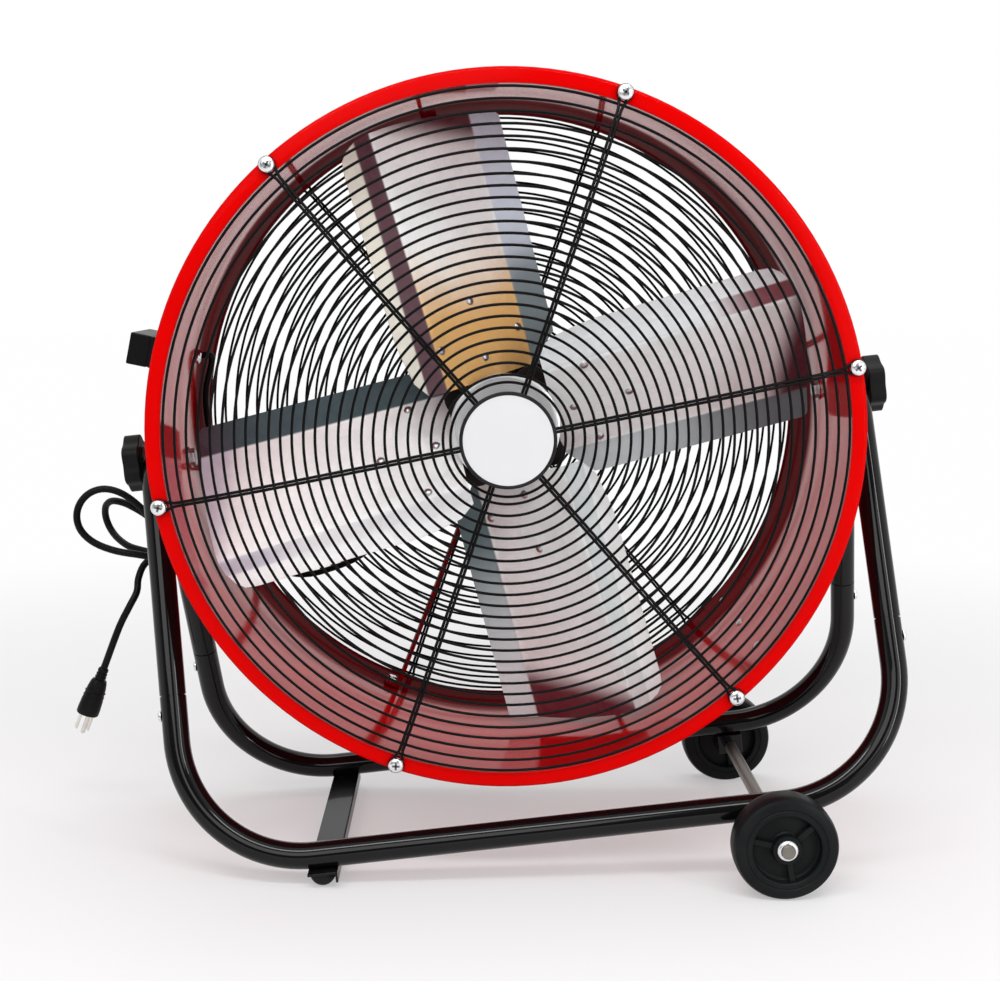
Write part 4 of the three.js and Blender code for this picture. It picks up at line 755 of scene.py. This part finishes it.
class FAN_OT_guards(Piece, bpy.types.Operator):
    """Make both wire guards with their rings, doubled spokes and screws"""

    bl_idname = "fan.guards"
    bl_label = "Guards"

    def rings(self, side, reach):
        radius = self.mm("wire_radius")
        shape = bmesh.new()
        geometry = []
        for ring in ring_places():
            place = shifted(ring, side * (reach + guard_stand(ring)), 0)
            geometry += bmesh.ops.create_circle(shape, segments=8, radius=radius, matrix=place)["verts"]
        spun(shape, geometry + list(shape.edges), self.sizes.turns)
        return outward(shape)

    def spoke(self, side, reach):
        """A wire that runs out, loops round the screw and runs back beside itself."""
        radius = self.mm("spoke_radius")
        lift = self.mm("wire_radius") + radius - 0.5
        half = radius + 0.1
        stations = [32 + 15.2 * step for step in range(19)]
        out = [(place, -half, guard_stand(min(place, GUARD_RADIUS)) + lift) for place in stations]
        out.append((310.5, -half - 0.8, 4.4))
        loop = [(SCREW_CIRCLE + 6.7 * math.cos(math.radians(turn)), 6.7 * math.sin(math.radians(turn)), 2.1)
                for turn in range(-140, 141, 20)]
        back = [(place, -across, stand) for place, across, stand in reversed(out)]
        return wire([(place, side * (reach + stand), across) for place, across, stand in out + loop + back], radius,
                    roundness=2)

    def make(self):
        black = black_enamel("wire_enamel", tuple(self.colours.wire_black), 0.36, 0.06)
        chrome = bright_plate("screw_chrome", (0.82, 0.83, 0.84), 0.16)
        # Dark steel for the screws' crosses, as painted shade for their recesses.
        recess = bright_plate("screw_recess_painted_shade", (0.16, 0.17, 0.18), 0.4)
        for end, (side, reach) in ENDS.items():
            shape = self.rings(side, reach)
            for angle in SPOKE_ANGLES:
                shape = gather(shape, put(self.spoke(side, reach), turn_to(angle)))
            dish = [(0, 22.8), (33, 22.8), (34.4, 23.4), (34.4, 24.6), (33, PLATE_RISE), (0, PLATE_RISE)]
            dish = turned([(radius, side * (reach + rise)) for radius, rise in dish], 64)
            finished(f"{end}_wire_guard", gather(shape, dish), black, "head", [f"{end}_guard"],
                     sharp=50)
            heads, recess_shades = [], []
            for angle in SPOKE_ANGLES:
                screw = gather(pan_head(7.2, 4.0, 4.0), rod(2.5, (0, -8, 0), (0, 4.2, 0), 12),
                               put(hex_head(4.6, 3.4), shifted(0, -5.8, 0)))
                place = Matrix.Translation(around(angle, SCREW_CIRCLE, side * reach))
                place = place @ turning(180 if side < 0 else 0, "X") @ turning(25 + angle * 1.7, "Y")
                heads.append(put(screw, place))
                recess_shades.append(put(cross(7.2, 8.0), place))
            finished(f"{end}_screws", gather(*heads), chrome, "head",
                     [f"{end}_guard_screw_{index}" for index in range(1, 7)], sharp=40)
            finished(f"{end}_screw_painted_recess_shade", gather(*recess_shades), recess, "head")


class FAN_OT_badge(Piece, bpy.types.Operator):
    """Make the round badge: a bare white face in a black rim"""

    bl_idname = "fan.badge"
    bl_label = "Badge"

    def make(self):
        radius = self.mm("badge_radius")
        back = -(FRONT + PLATE_RISE + 0.3)
        rim = [(radius - 3.2, back), (radius, back), (radius, back - 3.2), (radius - 0.5, back - 4.1),
               (radius - 1.6, back - 4.4), (radius - 2.6, back - 4.2), (radius - 3.2, back - 3.6)]
        finished("badge_rim", turned(rim, 96), moulded("badge_black", (0.012, 0.012, 0.013), 0.3), "head",
                 ["hub_badge"], sharp=60)
        face = [(0, back - 0.2), (radius - 3.0, back - 0.2), (radius - 3.0, back - 3.5), (radius - 8, back - 3.66),
                (0, back - 3.7)]
        finished("badge_face", turned(face, 96), white_face(tuple(self.colours.badge_white)), "head",
                 sharp=40)


def blade_depth(across, share):
    """The blade's front face: a flat middle at the pitch angle between two folds, smoothed at each bend."""
    def at(place):
        trail, lip = FOLD + FOLD_FLARE * share, -LIP - LIP_FLARE * share
        lead, edge, end = -trail, lip - 16, 70 + 6 * share
        front, back = HUB_DEPTH + lead * PITCH_RISE, HUB_DEPTH + trail * PITCH_RISE
        knots = [(edge, front + 1.5), (lip, front + 6.5), (lead, front), (trail, back), (end, back + 2.6)]
        for (left, low), (right, high) in zip(knots, knots[1:]):
            if place <= right:
                break
        return low + (high - low) * (place - left) / (right - left)
    return (at(across - 1.6) + 2 * at(across) + at(across + 1.6)) / 4


LEAD_EDGE = [(0.0, -61), (0.06, -71.5), (0.165, -76.3), (0.23, -78.2), (0.27, -78.5), (0.90, -79.9), (0.951, -78.5),
             (0.9795, -72.5), (1.0, -62)]
TRAIL_EDGE = [(0.0, 43), (0.10, 71.2), (0.13, 72.0), (0.985, 76.0), (1.0, 73.0)]


def edge_at(knots, share):
    for (low, first), (high, second) in zip(knots, knots[1:]):
        if share <= high:
            break
    return first + (second - first) * (share - low) / (high - low)


class FAN_OT_blades(Piece, bpy.types.Operator):
    """Make the four folded blades and the rivets that hold them to the spider"""

    bl_idname = "fan.blades"
    bl_label = "Blades"

    def sheet(self):
        shape = bmesh.new()
        rows = [0, 0.02, 0.04, 0.06, 0.08, 0.10, 0.13, 0.165, 0.23, 0.27] + [0.27 + 0.035 * k for k in range(1, 19)]
        rows += [0.92, 0.94, 0.951, 0.965, 0.9795, 0.985, 0.993, 1.0]
        columns = [k / 56 for k in range(57)]
        bmesh.ops.create_grid(shape, x_segments=len(columns) - 1, y_segments=len(rows) - 1, size=0.5)
        for corner in shape.verts:
            column = columns[min(range(len(columns)), key=lambda k: abs(columns[k] - corner.co.x - 0.5))]
            row = rows[round((corner.co.y + 0.5) * (len(rows) - 1))]
            left, right = edge_at(LEAD_EDGE, row), edge_at(TRAIL_EDGE, row)
            across = left + (right - left) * column
            sag = BLADE_TIP - math.sqrt(BLADE_TIP**2 - across**2)
            out = BLADE_ROOT + (BLADE_TIP - BLADE_ROOT) * row
            corner.co = (across, blade_depth(across, row), out - row * row * sag)
        if sum(face.normal.y for face in outward(shape).faces) > 0:
            bmesh.ops.reverse_faces(shape, faces=shape.faces)
        bmesh.ops.solidify(shape, geom=shape.faces[:], thickness=self.mm("blade_sheet"))
        outward(shape)
        flat = shape.loops.layers.uv.new("sheet")
        for face in shape.faces:
            for loop in face.loops:
                loop[flat].uv = (loop.vert.co.x * MILLI, loop.vert.co.z * MILLI)
        return shape

    def make(self):
        base = tuple(self.colours.blade_zinc)
        # One material for each blade, each with its own painted reflections and painted shade on its facets.
        zinc = [
            zinc_sheet_with_painted_light(
                "blade_zinc_painted_light_right", base, trail=(tone(96, 104, 108), tone(188, 194, 196), 0.15, 0.85),
                riser=(tone(120, 55, 64), tone(212, 216, 218)), lip=tone(226, 228, 230),
                tip=(tone(88, 32, 46), 0.85, 1.0),
            ),
            zinc_sheet_with_painted_light(
                "blade_zinc_painted_light_top", base, trail=(tone(204, 214, 228), tone(106, 118, 122), 0.25, 0.60),
                riser=(tone(92, 52, 64), tone(96, 64, 74)), lip=tone(226, 222, 208),
                tip=(tone(90, 34, 46), 0.89, 1.0), tan=0.95,
            ),
            zinc_sheet_with_painted_light(
                # The left blade's face is a lighter copy of the zinc, as painted light.
                "blade_zinc_painted_light_left", shade(base, 1.10), trail=(tone(66, 40, 52), tone(56, 74, 80), 0.80, 0.98),
                riser=(tone(214, 214, 228), tone(246, 246, 248)), lip=tone(244, 244, 244),
                tip=(tone(190, 184, 208), 0.86, 0.7),
            ),
            zinc_sheet_with_painted_light(
                "blade_zinc_painted_light_low", base, trail=(tone(212, 218, 220), tone(84, 104, 108), 0.15, 0.85),
                riser=(tone(212, 214, 214), tone(204, 210, 210)), lip=tone(234, 234, 234),
                tip=(tone(108, 38, 50), 0.80, 1.0),
            ),
        ]
        rivet_steel = bright_plate("blade_rivet_steel", (0.56, 0.58, 0.60), 0.22)
        normal = Vector((math.sin(BLADE_PITCH), -math.cos(BLADE_PITCH), 0))
        turn = normal.to_track_quat("Y", "Z").to_matrix().to_4x4()
        back = turn @ turning(180, "X")
        for index, angle in enumerate(BLADE_ANGLES):
            place = REST @ turning(90 - angle, "Y")
            finished(f"blade_sheet_{index + 1}", self.sheet(), zinc[index], "fan", [f"blade_{index + 1}"],
                     place=place, sharp=30)
            heads = []
            for across, out in ((0, 69.8), (0, 125.5), (-38.4, 88), (38.4, 88)):
                foot = Vector((across, HUB_DEPTH + across * PITCH_RISE, out))
                head = turned([(0, -0.2), (4.3, -0.2), (4.2, 0.5), (3.5, 1.3), (2.2, 1.9), (0, 2.2)], 20)
                heads.append(put(head, Matrix.Translation(foot) @ turn))
                heads.append(rod(2.2, foot, foot - normal * 7.6, 12))
                tail = turned([(0, 0), (3.6, 0), (3.2, 1.2), (0, 1.7)], 14)
                heads.append(put(tail, Matrix.Translation(foot - normal * 5.6) @ back))
            finished(f"blade_rivets_{index + 1}", gather(*heads), rivet_steel, "fan",
                     place=place)


class FAN_OT_hub(Piece, bpy.types.Operator):
    """Make the spider, its cap and the shaft"""

    bl_idname = "fan.hub"
    bl_label = "Hub"

    def web(self, turn):
        """The radius of the plate between the arms, which swells half way from one to the next."""
        along = ((math.degrees(turn) - BLADE_ANGLES[0]) % 90 - 45) / 29
        return 42 + 24 * (0.5 + 0.5 * math.cos(math.pi * min(1.0, abs(along)))) ** 0.8

    def make(self):
        dark = moulded("spider_black", (0.014, 0.009, 0.009), 0.45, 260.0, 0.7)
        parts = [plate(lobed(144, self.web), -32, -28), turned([(8.3, -49.2), (20, -49.2), (20, -8), (8.3, -8)])]
        half = [(16, 30), (42, 80), (42, 96), (12, 136)]
        outline = half + [(-across, out) for across, out in reversed(half)]
        outline = [(across / math.cos(BLADE_PITCH), out) for across, out in outline]
        for angle in BLADE_ANGLES:
            arm = put(plate(outline, 1.9, 5.4), Matrix.Rotation(BLADE_PITCH, 4, "Z"))
            parts.append(put(arm, turning(90 - angle, "Y") @ shifted(0, HUB_DEPTH, 0)))
        finished("blade_spider", gather(*parts), dark, "fan", ["spider"], bevel=0.7, sharp=28)
        cap_steel = turned_steel("cap_steel", (0.86, 0.87, 0.88), 0.30, 2.2)
        cap = [(8.3, -49.6), (49, -49.6), (52.4, -50.2), (53, -51.4), (52.6, -53.0), (50.6, -53.9), (47, -54.0),
               (45.6, -53.3), (30, -52.6), (22, -53.6), (14, -54.0), (8.3, -54.0)]
        finished("spinner_cap", turned(cap, 96), cap_steel, "fan", ["hub_cap"], sharp=50)
        shaft = [(0, -62), (7.2, -62), (8, -61.2), (8, 74), (0, 74)]
        finished("motor_shaft", turned(shaft, 32), turned_steel("shaft_steel", (0.6, 0.6, 0.61), 0.25, 1.1),
                 "fan", ["fan_shaft"])


class FAN_OT_motor(Piece, bpy.types.Operator):
    """Make the motor, its end bell and the red struts that hold it in the drum"""

    bl_idname = "fan.motor"
    bl_label = "Motor"

    def make(self):
        paint = black_enamel("motor_enamel", (0.010, 0.010, 0.011), 0.42, 0.15)
        shell = [(8.3, 50), (20, 50), (22, 52), (58, 52), (66.5, 55.5), (68, 60), (68, 78), (67, 79), (67, 137),
                 (68, 138), (68, 140), (8.3, 140)]
        housing = turned(shell, 72)
        fins = [put(bar((22, 50.6, -1.4), (60, 53.4, 1.4), 0.4), turn_to(30 * step)) for step in range(12)]
        finished("motor_shell", gather(housing, *fins), paint, "head", ["motor_housing"], bevel=0.8)
        bell = turned([(0, 140.3), (62, 140.3), (62, 146), (58.5, 150.6), (52, 152.0), (30, 152.0), (27, 149.5),
                       (12, 149.5), (9.5, 152.0), (0, 152.3)], 72)
        slots = [put(bar((33, 151.2, -2.2), (52, 152.3, 2.2), 0.5), turn_to(24 * step)) for step in range(15)]
        finished("motor_bell", gather(bell, *slots), paint, "head", ["motor_end_bell"], bevel=0.5)
        # The struts' red is the drum's at 0.30, darker as painted shade where they stand behind the blades.
        red = red_enamel(shade(self.colours.drum_red, 0.30), "strut_enamel_painted_shade", wall=False)
        parts = [turned([(68.3, 80), (71.3, 80), (71.3, 110), (68.3, 110)], 96)]
        strap, inner_foot, outer_foot = (
            ((69.8, 82, -2), (311.4, 108, 2)), ((70.8, 80.5, -17), (74.0, 109.5, 17)),
            ((308.0, 80.5, -14), (311.2, 109.5, 2)),
        )
        for angle in STRUT_ANGLES:
            parts += [put(bar(*corners), turn_to(angle)) for corners in (strap, inner_foot, outer_foot)]
        finished("motor_struts", gather(*parts), red, "head", ["motor_frame"], bevel=0.9, segments=3)
        bolts = []
        for angle in STRUT_ANGLES:
            for depth in (88, 102):
                head = put(hex_head(4.6, 3.0), turning(90, "Z"))
                bolts.append(put(head, turn_to(angle, 308.1, depth) @ shifted(0, 0, -8)))
                head = put(hex_head(4.0, 2.6), turning(-90, "Z"))
                bolts.append(put(head, turn_to(angle, 73.9, depth) @ shifted(0, 0, 10)))
        finished("motor_bolts", gather(*bolts), bpy.data.materials["screw_chrome"], "head")


class FAN_OT_pivots(Piece, bpy.types.Operator):
    """Make the tilt bolts, their spacers and the lobed clamping knobs"""

    bl_idname = "fan.pivots"
    bl_label = "Pivots"

    def make(self):
        plastic = moulded("knob_plastic", tuple(self.colours.moulded_black), 0.40, 1100.0)
        steel = bright_plate("bolt_zinc", (0.55, 0.55, 0.56), 0.30)
        for name, side in SIDES:
            turn = turning(-90 * side, "Z")
            head = put(hex_head(9, 5.2), turn @ shifted(0, 306.8, 0))
            washer = put(turned([(0, 311.2), (10.4, 311.2), (10.4, 312.4), (0, 312.4)], 32), turn)
            shank = put(turned([(0, 310), (5, 310), (5, 369.3), (0, 369.3)], 20), turn)
            finished(f"{name}_tilt_bolt", gather(head, washer, shank), steel, "head", [f"{name}_pivot_bolt"])
            collar = [(5.6, 315.1), (10.4, 315.1), (11, 315.8), (11, 330.0), (10.4, 330.7), (5.6, 330.7)]
            finished(f"{name}_tilt_spacer", put(turned(collar, 32), turn), plastic, "head",
                     [f"{name}_pivot_spacer"])
            grip = plate(lobed(96, lambda angle: 26.1 + 1.9 * math.cos(6 * angle + math.pi)), 358.3, 374.2)
            crown = turned([(0, 370), (15, 370), (14, 373.6), (10.5, 374.3), (0, 374.3)], 48)
            skirt = turned([(5.8, 356.4), (15.5, 356.4), (17.5, 358.6), (5.8, 358.6)], 48)
            knob = put(gather(grip, crown, skirt), turn)
            finished(f"{name}_clamp_knob", knob, plastic, f"{name}_clamp", [f"{name}_knob"],
                     bevel=2.2, segments=4, sharp=40)


class FAN_OT_stand(Piece, bpy.types.Operator):
    """Bend the stand's four tubes and make their screws, the foot bar and the feet"""

    bl_idname = "fan.stand"
    bl_label = "Stand"

    def make(self):
        black = black_enamel("tube_enamel", tuple(self.colours.stand_black), 0.16, 0.45)
        radius = self.mm("tube_radius")
        chrome = bpy.data.materials["screw_chrome"]
        for name, side in SIDES:
            crown = (side * (ARCH_REACH + CROWN_RISE * LEG_SPLAY), 0, CROWN_RISE)
            line = bent([leg_point(side, -1, JOINT_DROP), crown, leg_point(side, 1, JOINT_DROP)], CROWN_BEND, 24)
            arch = wire(line, radius, roundness=10)
            for face in (-1, 1):
                ends = [leg_point(side, face, JOINT_DROP + drop) for drop in (-3, 3)]
                arch = gather(arch, rod(radius - 1.2, *ends, 40))
            finished(f"{name}_arch", arch, black, "stand", [f"{name}_arch_tube"], sharp=50)
        for name, face in FACES:
            top = JOINT_DROP + 1.0
            line = bent([leg_point(-1, face, top), leg_point(-1, face, RUN_DROP), leg_point(1, face, RUN_DROP),
                         leg_point(1, face, top)], 120, 28)
            finished(f"{name}_run", wire(line, radius, roundness=10), black, "stand", [f"{name}_lower_tube"],
                     sharp=50)
        heads = []
        for side in (-1, 1):
            for face in (-1, 1):
                seat = leg_point(side, face, JOINT_DROP + 18) + Vector((side * (radius - 0.1), 0, 0))
                turn = Matrix.Translation(seat) @ turning(-90 * side, "Z")
                heads.append(put(pan_head(5.5, 3.1), turn))
        finished("joint_screws", gather(*heads), chrome, "stand",
                 ["left_front_joint_screw", "right_front_joint_screw", "left_rear_joint_screw",
                  "right_rear_joint_screw"])
        top = -(RUN_DROP + radius + 0.1)
        under, inner, reach = top - 2.4, -200.0, RUN_DEPTH + 16.5
        channel = gather(
            bar((inner - 28, -reach, under), (inner, reach, top)),
            bar((inner - 2.2, -reach, under - 8), (inner, reach, top)),
        )
        finished("foot_channel", channel, black_enamel("bar_enamel", (0.006, 0.006, 0.0065), 0.30, 0.3), "stand",
                 ["foot_bar"], bevel=0.6)
        rubber = moulded("foot_rubber", (0.014, 0.014, 0.014), 0.72, 700.0, 0.6)
        for name, face in FACES:
            dome = [(0, 1.4), (12.6, 1.4), (12.6, 0.6), (12.3, -0.6)]
            turns = [math.radians(turn) for turn in range(8, 90, 9)]
            dome += [(12.4 * math.cos(turn), -12.6 * math.sin(turn)) for turn in turns]
            shape = turned(dome + [(0, -12.6)], 40)
            centre = Vector((-215.1, face * RUN_DEPTH, under - 0.2 - 1.4))
            put(shape, Matrix.Translation(centre) @ turning(90, "X"))
            finished(f"{name}_rubber_foot", shape, rubber, "stand", [f"{name}_foot"], sharp=50)


class FAN_OT_wheels(Piece, bpy.types.Operator):
    """Make the axle in its brackets, the moulded wheels and the push nuts"""

    bl_idname = "fan.wheels"
    bl_label = "Wheels"

    def make(self):
        black = bpy.data.materials["tube_enamel"]
        plastic = moulded("wheel_plastic", tuple(self.colours.moulded_black), 0.42, 800.0, 0.5)
        chrome = bpy.data.materials["screw_chrome"]
        hub = Matrix.Translation(AXLE_PLACE)
        axle = [(0, -195.9), (5.9, -195.9), (6.5, -195.1), (6.5, -157.7), (9, -157.7), (9, -146.1), (6.5, -146.1)]
        steel = bright_plate("axle_steel", (0.24, 0.22, 0.20), 0.34)
        finished("wheel_axle", put(turned(mirrored(axle), 40), hub), steel, "stand", ["axle"])
        profile = [(6.8, 16), (13, 16), (13.6, 14.5), (13.6, 8.2), (15, 7.0), (29, 6.4), (31.0, 8.0), (31.8, 15.2),
                   (32.8, 16), (36.2, 16), (36.9, 15.3), (37.6, 15.3), (38.3, 15.9), (43.2, 15.6), (46.6, 13.6),
                   (48.2, 10.0), (48.6, 5.0)]
        for name, face in FACES:
            place = Matrix.Translation(AXLE_PLACE + Vector((0, face * 174, 0)))
            shape = turned(mirrored(profile), 96)
            for angle in (160, 35, -85):
                shape = gather(shape, put(bar((13, -13.0, -2.6), (31.8, 13.0, 2.6), 0.5), turn_to(angle)))
            finished(f"{name}_rolling_wheel", put(shape, place), plastic, f"{name}_roller", [f"{name}_wheel"],
                     sharp=28)
            nut = [(6.7, 190.3), (10, 190.3), (9.8, 191.4), (8.7, 192.6), (7.4, 193.2), (6.7, 193.2)]
            nut = turned([(radius, face * out) for radius, out in nut], 40)
            finished(f"{name}_cap_nut", put(nut, hub), chrome, "stand", [f"{name}_push_nut"])
            low = (AXLE_PLACE.x - 13, face * RUN_DEPTH - 7, AXLE_PLACE.z - 7.4)
            high = (AXLE_PLACE.x + 13, face * RUN_DEPTH + 7, -(RUN_DROP + 12.6))
            finished(f"{name}_bracket", bar(low, high), black, "stand", [f"{name}_axle_bracket"],
                     bevel=1.2, segments=3)


class FAN_OT_switch(Piece, bpy.types.Operator):
    """Make the switch box on the drum's side, its knob and the cord's strain relief"""

    bl_idname = "fan.switch"
    bl_label = "Switch"

    def make(self):
        black = black_enamel("box_enamel", (0.005, 0.005, 0.0055), 0.38, 0.1)
        place = REST @ SWITCH_SEAT
        body = bar((-15.5, -15, 315.4), (15.5, 75, 352))
        lid = bar((-15.5, -15, 352.8), (15.5, 75, 373.1))
        neck = bar((-15.0, -14.5, 350), (15.0, 74.5, 356))
        finished("box_shell", gather(body, lid, neck), black, "head", ["switch_box"], bevel=1.4,
                 segments=3, place=place)
        screws = []
        for depth in (2, 58):
            head = put(pan_head(3.6, 1.8), turning(90, "X"))
            screws.append(put(head, shifted(0, depth, 373.0)))
        holder = put(pan_head(6, 3), turning(-90, "X"))
        screws.append(put(holder, shifted(0, 30, 312.0)))
        finished("box_screws", gather(*screws), bpy.data.materials["screw_chrome"], "head", ["switch_box_screw"],
                 place=place)
        plastic = bpy.data.materials["knob_plastic"]
        knob = turned([(0, 75.3), (13, 75.3), (13, 77.5), (11.6, 80), (10.9, 89), (10.2, 89.4), (0, 89.4)], 48)
        grip = bar((-2.5, 79, -11.6), (2.5, 91.7, 11.6), 0.8)
        shape = put(gather(knob, grip), shifted(0, 0, 345.1))
        finished("speed_knob", shape, plastic, "switch", ["switch_knob"], bevel=0.6, place=place)
        taper = [(0, 15.8), (7, 15.8), (7.2, 17.2)]
        for ring in range(5):
            start = 18.2 + ring * 4.4
            width = 6.7 - ring * 0.36
            taper += [(width, start), (width, start + 2.2), (width - 1.1, start + 2.6), (width - 1.1, start + 4.0)]
        relief = turned(taper + [(4.9, 40.6), (4.7, 41.7), (0, 41.7)], 32)
        put(relief, shifted(0, 40, 335.1) @ turning(90, "Z"))
        finished("cord_relief", relief, bpy.data.materials["foot_rubber"], "head", ["strain_relief"],
                 place=place, sharp=30)


class FAN_OT_stage(Piece, bpy.types.Operator):
    """Lay the pale floor and hang the studio's lamps"""

    bl_idname = "fan.stage"
    bl_label = "Stage and light"

    def lamp(self, name, place, aim, size, watts):
        """Hangs a lamp that points at a height over the fan's middle."""
        light = bpy.data.lights.new(name, "AREA")
        light.shape = "RECTANGLE"
        light.size, light.size_y = size
        light.energy = watts
        holder = hold(name, light)
        holder.location = place
        holder.rotation_euler = (Vector((0, 0, aim)) - Vector(place)).to_track_quat("-Z", "Y").to_euler()

    def ray(self, tree, kind):
        return Field(tree, tree.nodes.new("ShaderNodeLightPath").outputs[kind])

    def seen(self, tree, behind):
        """How bright the studio looks: white to the camera, and dim in front of the fan to its reflections."""
        return (self.ray(tree, "Is Camera Ray") + self.ray(tree, "Is Transmission Ray")
                + self.ray(tree, "Is Glossy Ray") * (0.12 + 0.88 * behind)).clipped()

    def make(self):
        scene = bpy.context.scene
        scene.view_settings.view_transform = "Standard"
        shape = bmesh.new()
        bmesh.ops.create_grid(shape, x_segments=8, y_segments=8, size=14.0)
        floor = hold("studio_floor", mesh_from("studio_floor", shape))
        paper = Finish("white_floor", (0.80, 0.79, 0.80), 0.9)
        across, depth, _ = paper.axes()
        away = (across * across + depth * depth) ** 0.5
        tree = paper.tree
        seen = self.seen(tree, depth.between(-1.2, 0.0))
        glow = tree.nodes.new("ShaderNodeEmission")
        feed(tree, glow.inputs["Color"], (1.0, 0.995, 1.0, 1.0))
        blend = tree.nodes.new("ShaderNodeMixShader")
        feed(tree, blend.inputs[0], seen * (0.36 + 0.64 * away.between(0.60, 1.9)))
        tree.links.new(paper.shader.outputs[0], blend.inputs[1])
        tree.links.new(glow.outputs[0], blend.inputs[2])
        tree.links.new(blend.outputs[0], tree.nodes["Material Output"].inputs["Surface"])
        floor.data.materials.append(paper.material)
        world = bpy.data.worlds.new("studio")
        world.use_nodes = True
        scene.world = world
        sky = world.node_tree
        way = sky.nodes.new("ShaderNodeSeparateXYZ")
        sky.links.new(sky.nodes.new("ShaderNodeTexCoord").outputs["Generated"], way.inputs[0])
        seen = self.seen(sky, Field(sky, way.outputs["Y"]).between(-0.80, -0.30))
        feed(sky, sky.nodes["Background"].inputs["Color"], (1.0, 1.0, 1.0, 1.0))
        lit = self.ray(sky, "Is Diffuse Ray")
        feed(sky, sky.nodes["Background"].inputs["Strength"], lit * 0.55 + (1 - lit) * seen)
        self.lamp("key", (-0.9, -3.1, 1.9), 0.4, (2.2, 1.6), 31)
        self.lamp("fill", (1.9, -2.9, 1.1), 0.4, (1.6, 1.6), 17)
        self.lamp("top", (0.2, 0.5, 2.8), 0.3, (2.4, 1.2), 20)
        self.lamp("high_strip", (-0.2, -1.5, 2.3), 0.3, (2.4, 0.35), 30)
        self.lamp("side_strip", (1.8, -1.9, 0.8), 0.4, (0.22, 1.8), 14)


STEPS = [FAN_OT_camera, FAN_OT_cord, FAN_OT_drum, FAN_OT_guards, FAN_OT_badge, FAN_OT_blades, FAN_OT_hub,
         FAN_OT_motor, FAN_OT_pivots, FAN_OT_stand, FAN_OT_wheels, FAN_OT_switch, FAN_OT_stage]


class FAN_PT_panel(bpy.types.Panel):
    """The fan's sizes and colours, and a button for each step"""

    bl_idname = "FAN_PT_panel"
    bl_label = "Drum fan"
    bl_space_type = "VIEW_3D"
    bl_region_type = "UI"
    bl_category = "Drum fan"

    def draw(self, context):
        for group in (context.scene.fan_sizes, context.scene.fan_colours):
            column = self.layout.column(align=True)
            for name in group.bl_rna.properties.keys():
                if name not in ("rna_type", "name"):
                    column.prop(group, name)
        column = self.layout.column(align=True)
        for step in STEPS:
            column.operator(step.bl_idname)


CLASSES = [FanSizes, FanColours, *STEPS, FAN_PT_panel]


def register():
    for kind in CLASSES:
        bpy.utils.register_class(kind)
    bpy.types.Scene.fan_sizes = PointerProperty(type=FanSizes)
    bpy.types.Scene.fan_colours = PointerProperty(type=FanColours)


def unregister():
    del bpy.types.Scene.fan_colours
    del bpy.types.Scene.fan_sizes
    for kind in reversed(CLASSES):
        bpy.utils.unregister_class(kind)


def main():
    register()
    for step in STEPS:
        getattr(bpy.ops.fan, step.bl_idname.partition(".")[2])()


if __name__ == "__main__":
    main()
